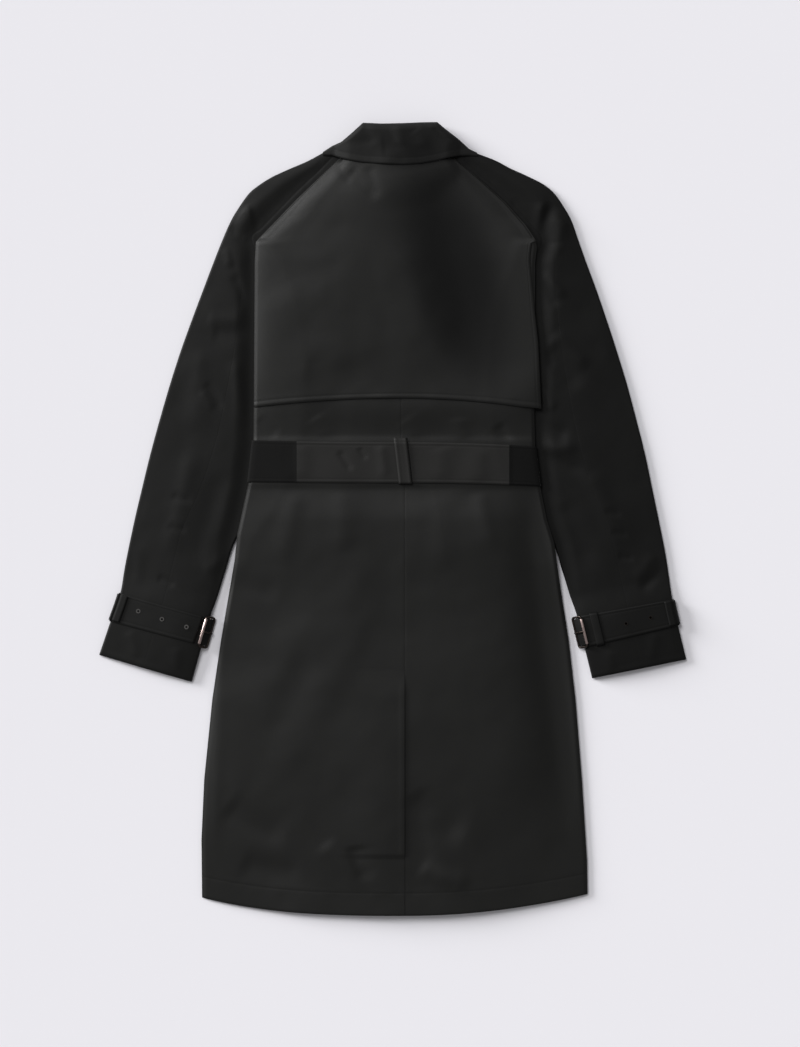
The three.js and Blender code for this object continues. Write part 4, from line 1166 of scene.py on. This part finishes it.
def painted_shade_cover(x, y):
    """How much painted shade lies on the body's cloth, from 0 outside the patches."""
    turned = 0
    for mid_x, mid_y, half_width, half_height, lean, strength in PAINTED_SHADE_PATCHES:
        up = y - mid_y * MM
        over = (x - mid_x * MM - up * lean) * (1 / (half_width * MM))
        up = up * (1 / (half_height * MM))
        near = 1 - over * over - up * up
        near = near.maths("MAXIMUM", near, 0.0)
        turned = near * near * (3 - 2 * near) * strength + turned
    return turned


def belt_ends_painted_shade(x, y):
    """Painted shade on the belt's ends, darker on the right."""
    return (x > BELT_ZONES[1] * MM) * 0.9 + (x < BELT_ZONES[0] * MM) * 0.8


def twill_material(name, colour, sheen=0.2, rough=0.6, dull=None, dulling=0):
    """Matt cotton twill: fine slanted ribs, an uneven tone and a little lint. dull says where over x
    and y painted shade darkens it, and dulling how much rougher it is there."""
    material, tree, shader, place = new_material(name)
    shader.inputs["Roughness"].default_value = rough
    shader.inputs["Specular IOR Level"].default_value = sheen
    x, y, z = (place.node("ShaderNodeSeparateXYZ", output=axis, Vector=place) for axis in "XYZ")
    slant = (x * 0.8 + y * 0.6 + z * 0.5) * (2 * math.pi / (RIB_PITCH * MM))
    wander = place.node("ShaderNodeTexNoise", Vector=place, Scale=900.0, Detail=2.0, Roughness=0.6)
    wavy = slant + wander * 5
    ribs = wavy.maths("SINE", wavy)
    patches = place.node("ShaderNodeTexNoise", Vector=place, Scale=22.0, Detail=4.0, Roughness=0.55)
    grain = place.node("ShaderNodeTexNoise", Vector=place, Scale=620.0, Detail=3.0, Roughness=0.7)
    tone = 0.72 + patches * 0.34 + grain * 0.22 + ribs * 0.035
    if dull:
        cover = dull(x, y)
        tone = tone * (1 - cover)
        feed(tree, shader, "Roughness", rough + cover * dulling)
    tint = place.node(
        "ShaderNodeMix", {"data_type": "RGBA"}, 2, i0=tone * 0.5, i6=(0, 0, 0, 1),
        i7=tuple(2 * part for part in colour) + (1,),
    )
    feed(tree, shader, "Base Color", tint)
    height = ribs * 0.5 + grain * 1.4
    bump = place.node("ShaderNodeBump", Strength=0.35, Distance=0.00022, Height=height)
    feed(tree, shader, "Normal", bump)
    return material


def metal_material(name, colour):
    material, tree, shader, place = new_material(name)
    shader.inputs["Metallic"].default_value = 1.0
    shader.inputs["Base Color"].default_value = colour + (1,)
    wear = place.node("ShaderNodeTexNoise", Vector=place, Scale=260.0, Detail=3.0, Roughness=0.6)
    feed(tree, shader, "Roughness", 0.2 + wear * 0.2)
    return material


# Near-black and matt: painted shade for the eyelets' holes.
def painted_shade_material():
    material, _, shader, _ = new_material("hole painted shade")
    shader.inputs["Base Color"].default_value = (0.001, 0.001, 0.001, 1)
    shader.inputs["Roughness"].default_value = 1.0
    shader.inputs["Specular IOR Level"].default_value = 0.0
    return material


def plastic_material():
    material, tree, shader, place = new_material("button plastic")
    swirl = place.node("ShaderNodeTexNoise", Vector=place, Scale=140.0, Detail=3.0, Roughness=0.6)
    tint = place.node(
        "ShaderNodeMix", {"data_type": "RGBA"}, 2, i0=swirl, i6=(0.008, 0.007, 0.0065, 1),
        i7=(0.02, 0.017, 0.014, 1),
    )
    feed(tree, shader, "Base Color", tint)
    shader.inputs["Roughness"].default_value = 0.4
    return material


def floor_material():
    material, _, shader, _ = new_material("pale paper")
    shader.inputs["Base Color"].default_value = (0.8, 0.79, 0.83, 1)
    shader.inputs["Roughness"].default_value = 0.9
    shader.inputs["Specular IOR Level"].default_value = 0.1
    return material


# Camera, lights and floor
VIEW_HEIGHT = 1308.75
VIEW_CENTRE = (9.4, -6.25, 8)
CAMERA_HEIGHT = 3600
FILM = 36
FLOOR_HALF = 6  # metres

# Name, strength, spread in degrees, bearing in plan and height over the floor in degrees
LIGHTS = (
    ("key", 1.4, 26, (-0.6, 0.8), 52),
    ("side", 4.35, 24, (-0.9, 0.44), 15.5),
)
SKY = 0.31


def make_floor():
    bm = bmesh.new()
    bmesh.ops.create_grid(bm, x_segments=1, y_segments=1, size=FLOOR_HALF)
    floor = to_piece("floor", bm)
    floor.data.materials.append(floor_material())
    return floor


def make_camera():
    """Straight over the coat, as far away as a photographer would stand."""
    lens = bpy.data.cameras.new("camera")
    lens.sensor_width = FILM
    lens.lens = FILM * CAMERA_HEIGHT / VIEW_HEIGHT
    lens.clip_end = 50
    camera = bpy.data.objects.new("camera", lens)
    camera.location = (Vector(VIEW_CENTRE) + Vector((0, 0, CAMERA_HEIGHT))) * MM
    bpy.context.scene.collection.objects.link(camera)
    bpy.context.scene.camera = camera


def make_lights():
    for name, strength, spread, bearing, elevation in LIGHTS:
        light = bpy.data.lights.new(name, "SUN")
        light.energy = strength
        light.angle = math.radians(spread)
        lamp = bpy.data.objects.new(name, light)
        level, height = math.cos(math.radians(elevation)), math.sin(math.radians(elevation))
        toward = Vector((bearing[0] * level, bearing[1] * level, height))
        lamp.rotation_euler = toward.to_track_quat("Z", "Y").to_euler()
        bpy.context.scene.collection.objects.link(lamp)

    world = bpy.data.worlds.new("studio")
    world.use_nodes = True
    sky = world.node_tree.nodes["Background"]
    sky.inputs["Color"].default_value = (1, 1, 1, 1)
    sky.inputs["Strength"].default_value = SKY
    bpy.context.scene.world = world
    bpy.context.scene.view_settings.view_transform = "Standard"


# The sleeves' twills are copies of the body's cloth with painted shade: duller than it, and the right
# one darker than the left, as their sheen would fall under the light.
# The body's twill carries patches of painted shade, darker and rougher.
body_twill = twill_material("body twill", (0.0030, 0.0030, 0.0025), 0.28, 0.54, painted_shade_cover, 0.4)
sleeve_twills_painted_shade = {
    "left": twill_material("left sleeve twill painted shade", (0.0052, 0.0052, 0.0049), 0.16),
    "right": twill_material("right sleeve twill painted shade", (0.0038, 0.0038, 0.0036), 0.13),
}
# The belt's twill is the body's cloth made lighter as painted sheen, with painted shade on its ends.
belt_twill_painted_light = twill_material(
    "belt twill painted light", (0.0108, 0.0105, 0.0099), dull=belt_ends_painted_shade, dulling=0.35
)
gunmetal = metal_material("gunmetal", (0.055, 0.045, 0.04))
# A paler metal for the left cuff's eyelets, the right cuff's being gunmetal: painted light on the side
# the light comes from.
pewter_painted_light = metal_material("pewter_painted_light", (0.17, 0.165, 0.16))
# The cuff rollers' metal: the gunmetal made far lighter, a painted highlight.
painted_highlight = metal_material("polished gunmetal", (0.46, 0.36, 0.34))
plastic = plastic_material()
hole_painted_shade = painted_shade_material()

make_backs(body_twill)
make_fronts(body_twill)
make_storm_flap(body_twill)
make_belt_back(belt_twill_painted_light)
make_belt_front(belt_twill_painted_light)
make_belt_loop(belt_twill_painted_light)
for side in ("left", "right"):
    make_sleeve(side, sleeve_twills_painted_shade[side])
    make_cuff(side, sleeve_twills_painted_shade[side])
    make_buckle(side, painted_highlight, gunmetal, sleeve_twills_painted_shade[side])
    make_eyelets(side, pewter_painted_light if side == "left" else gunmetal, hole_painted_shade)
make_keeper(sleeve_twills_painted_shade["right"])
make_collar_fall(body_twill)
make_collar_stand(body_twill)
make_buttons(plastic)
make_front_buckle(gunmetal)
floor = make_floor()
make_camera()
make_lights()
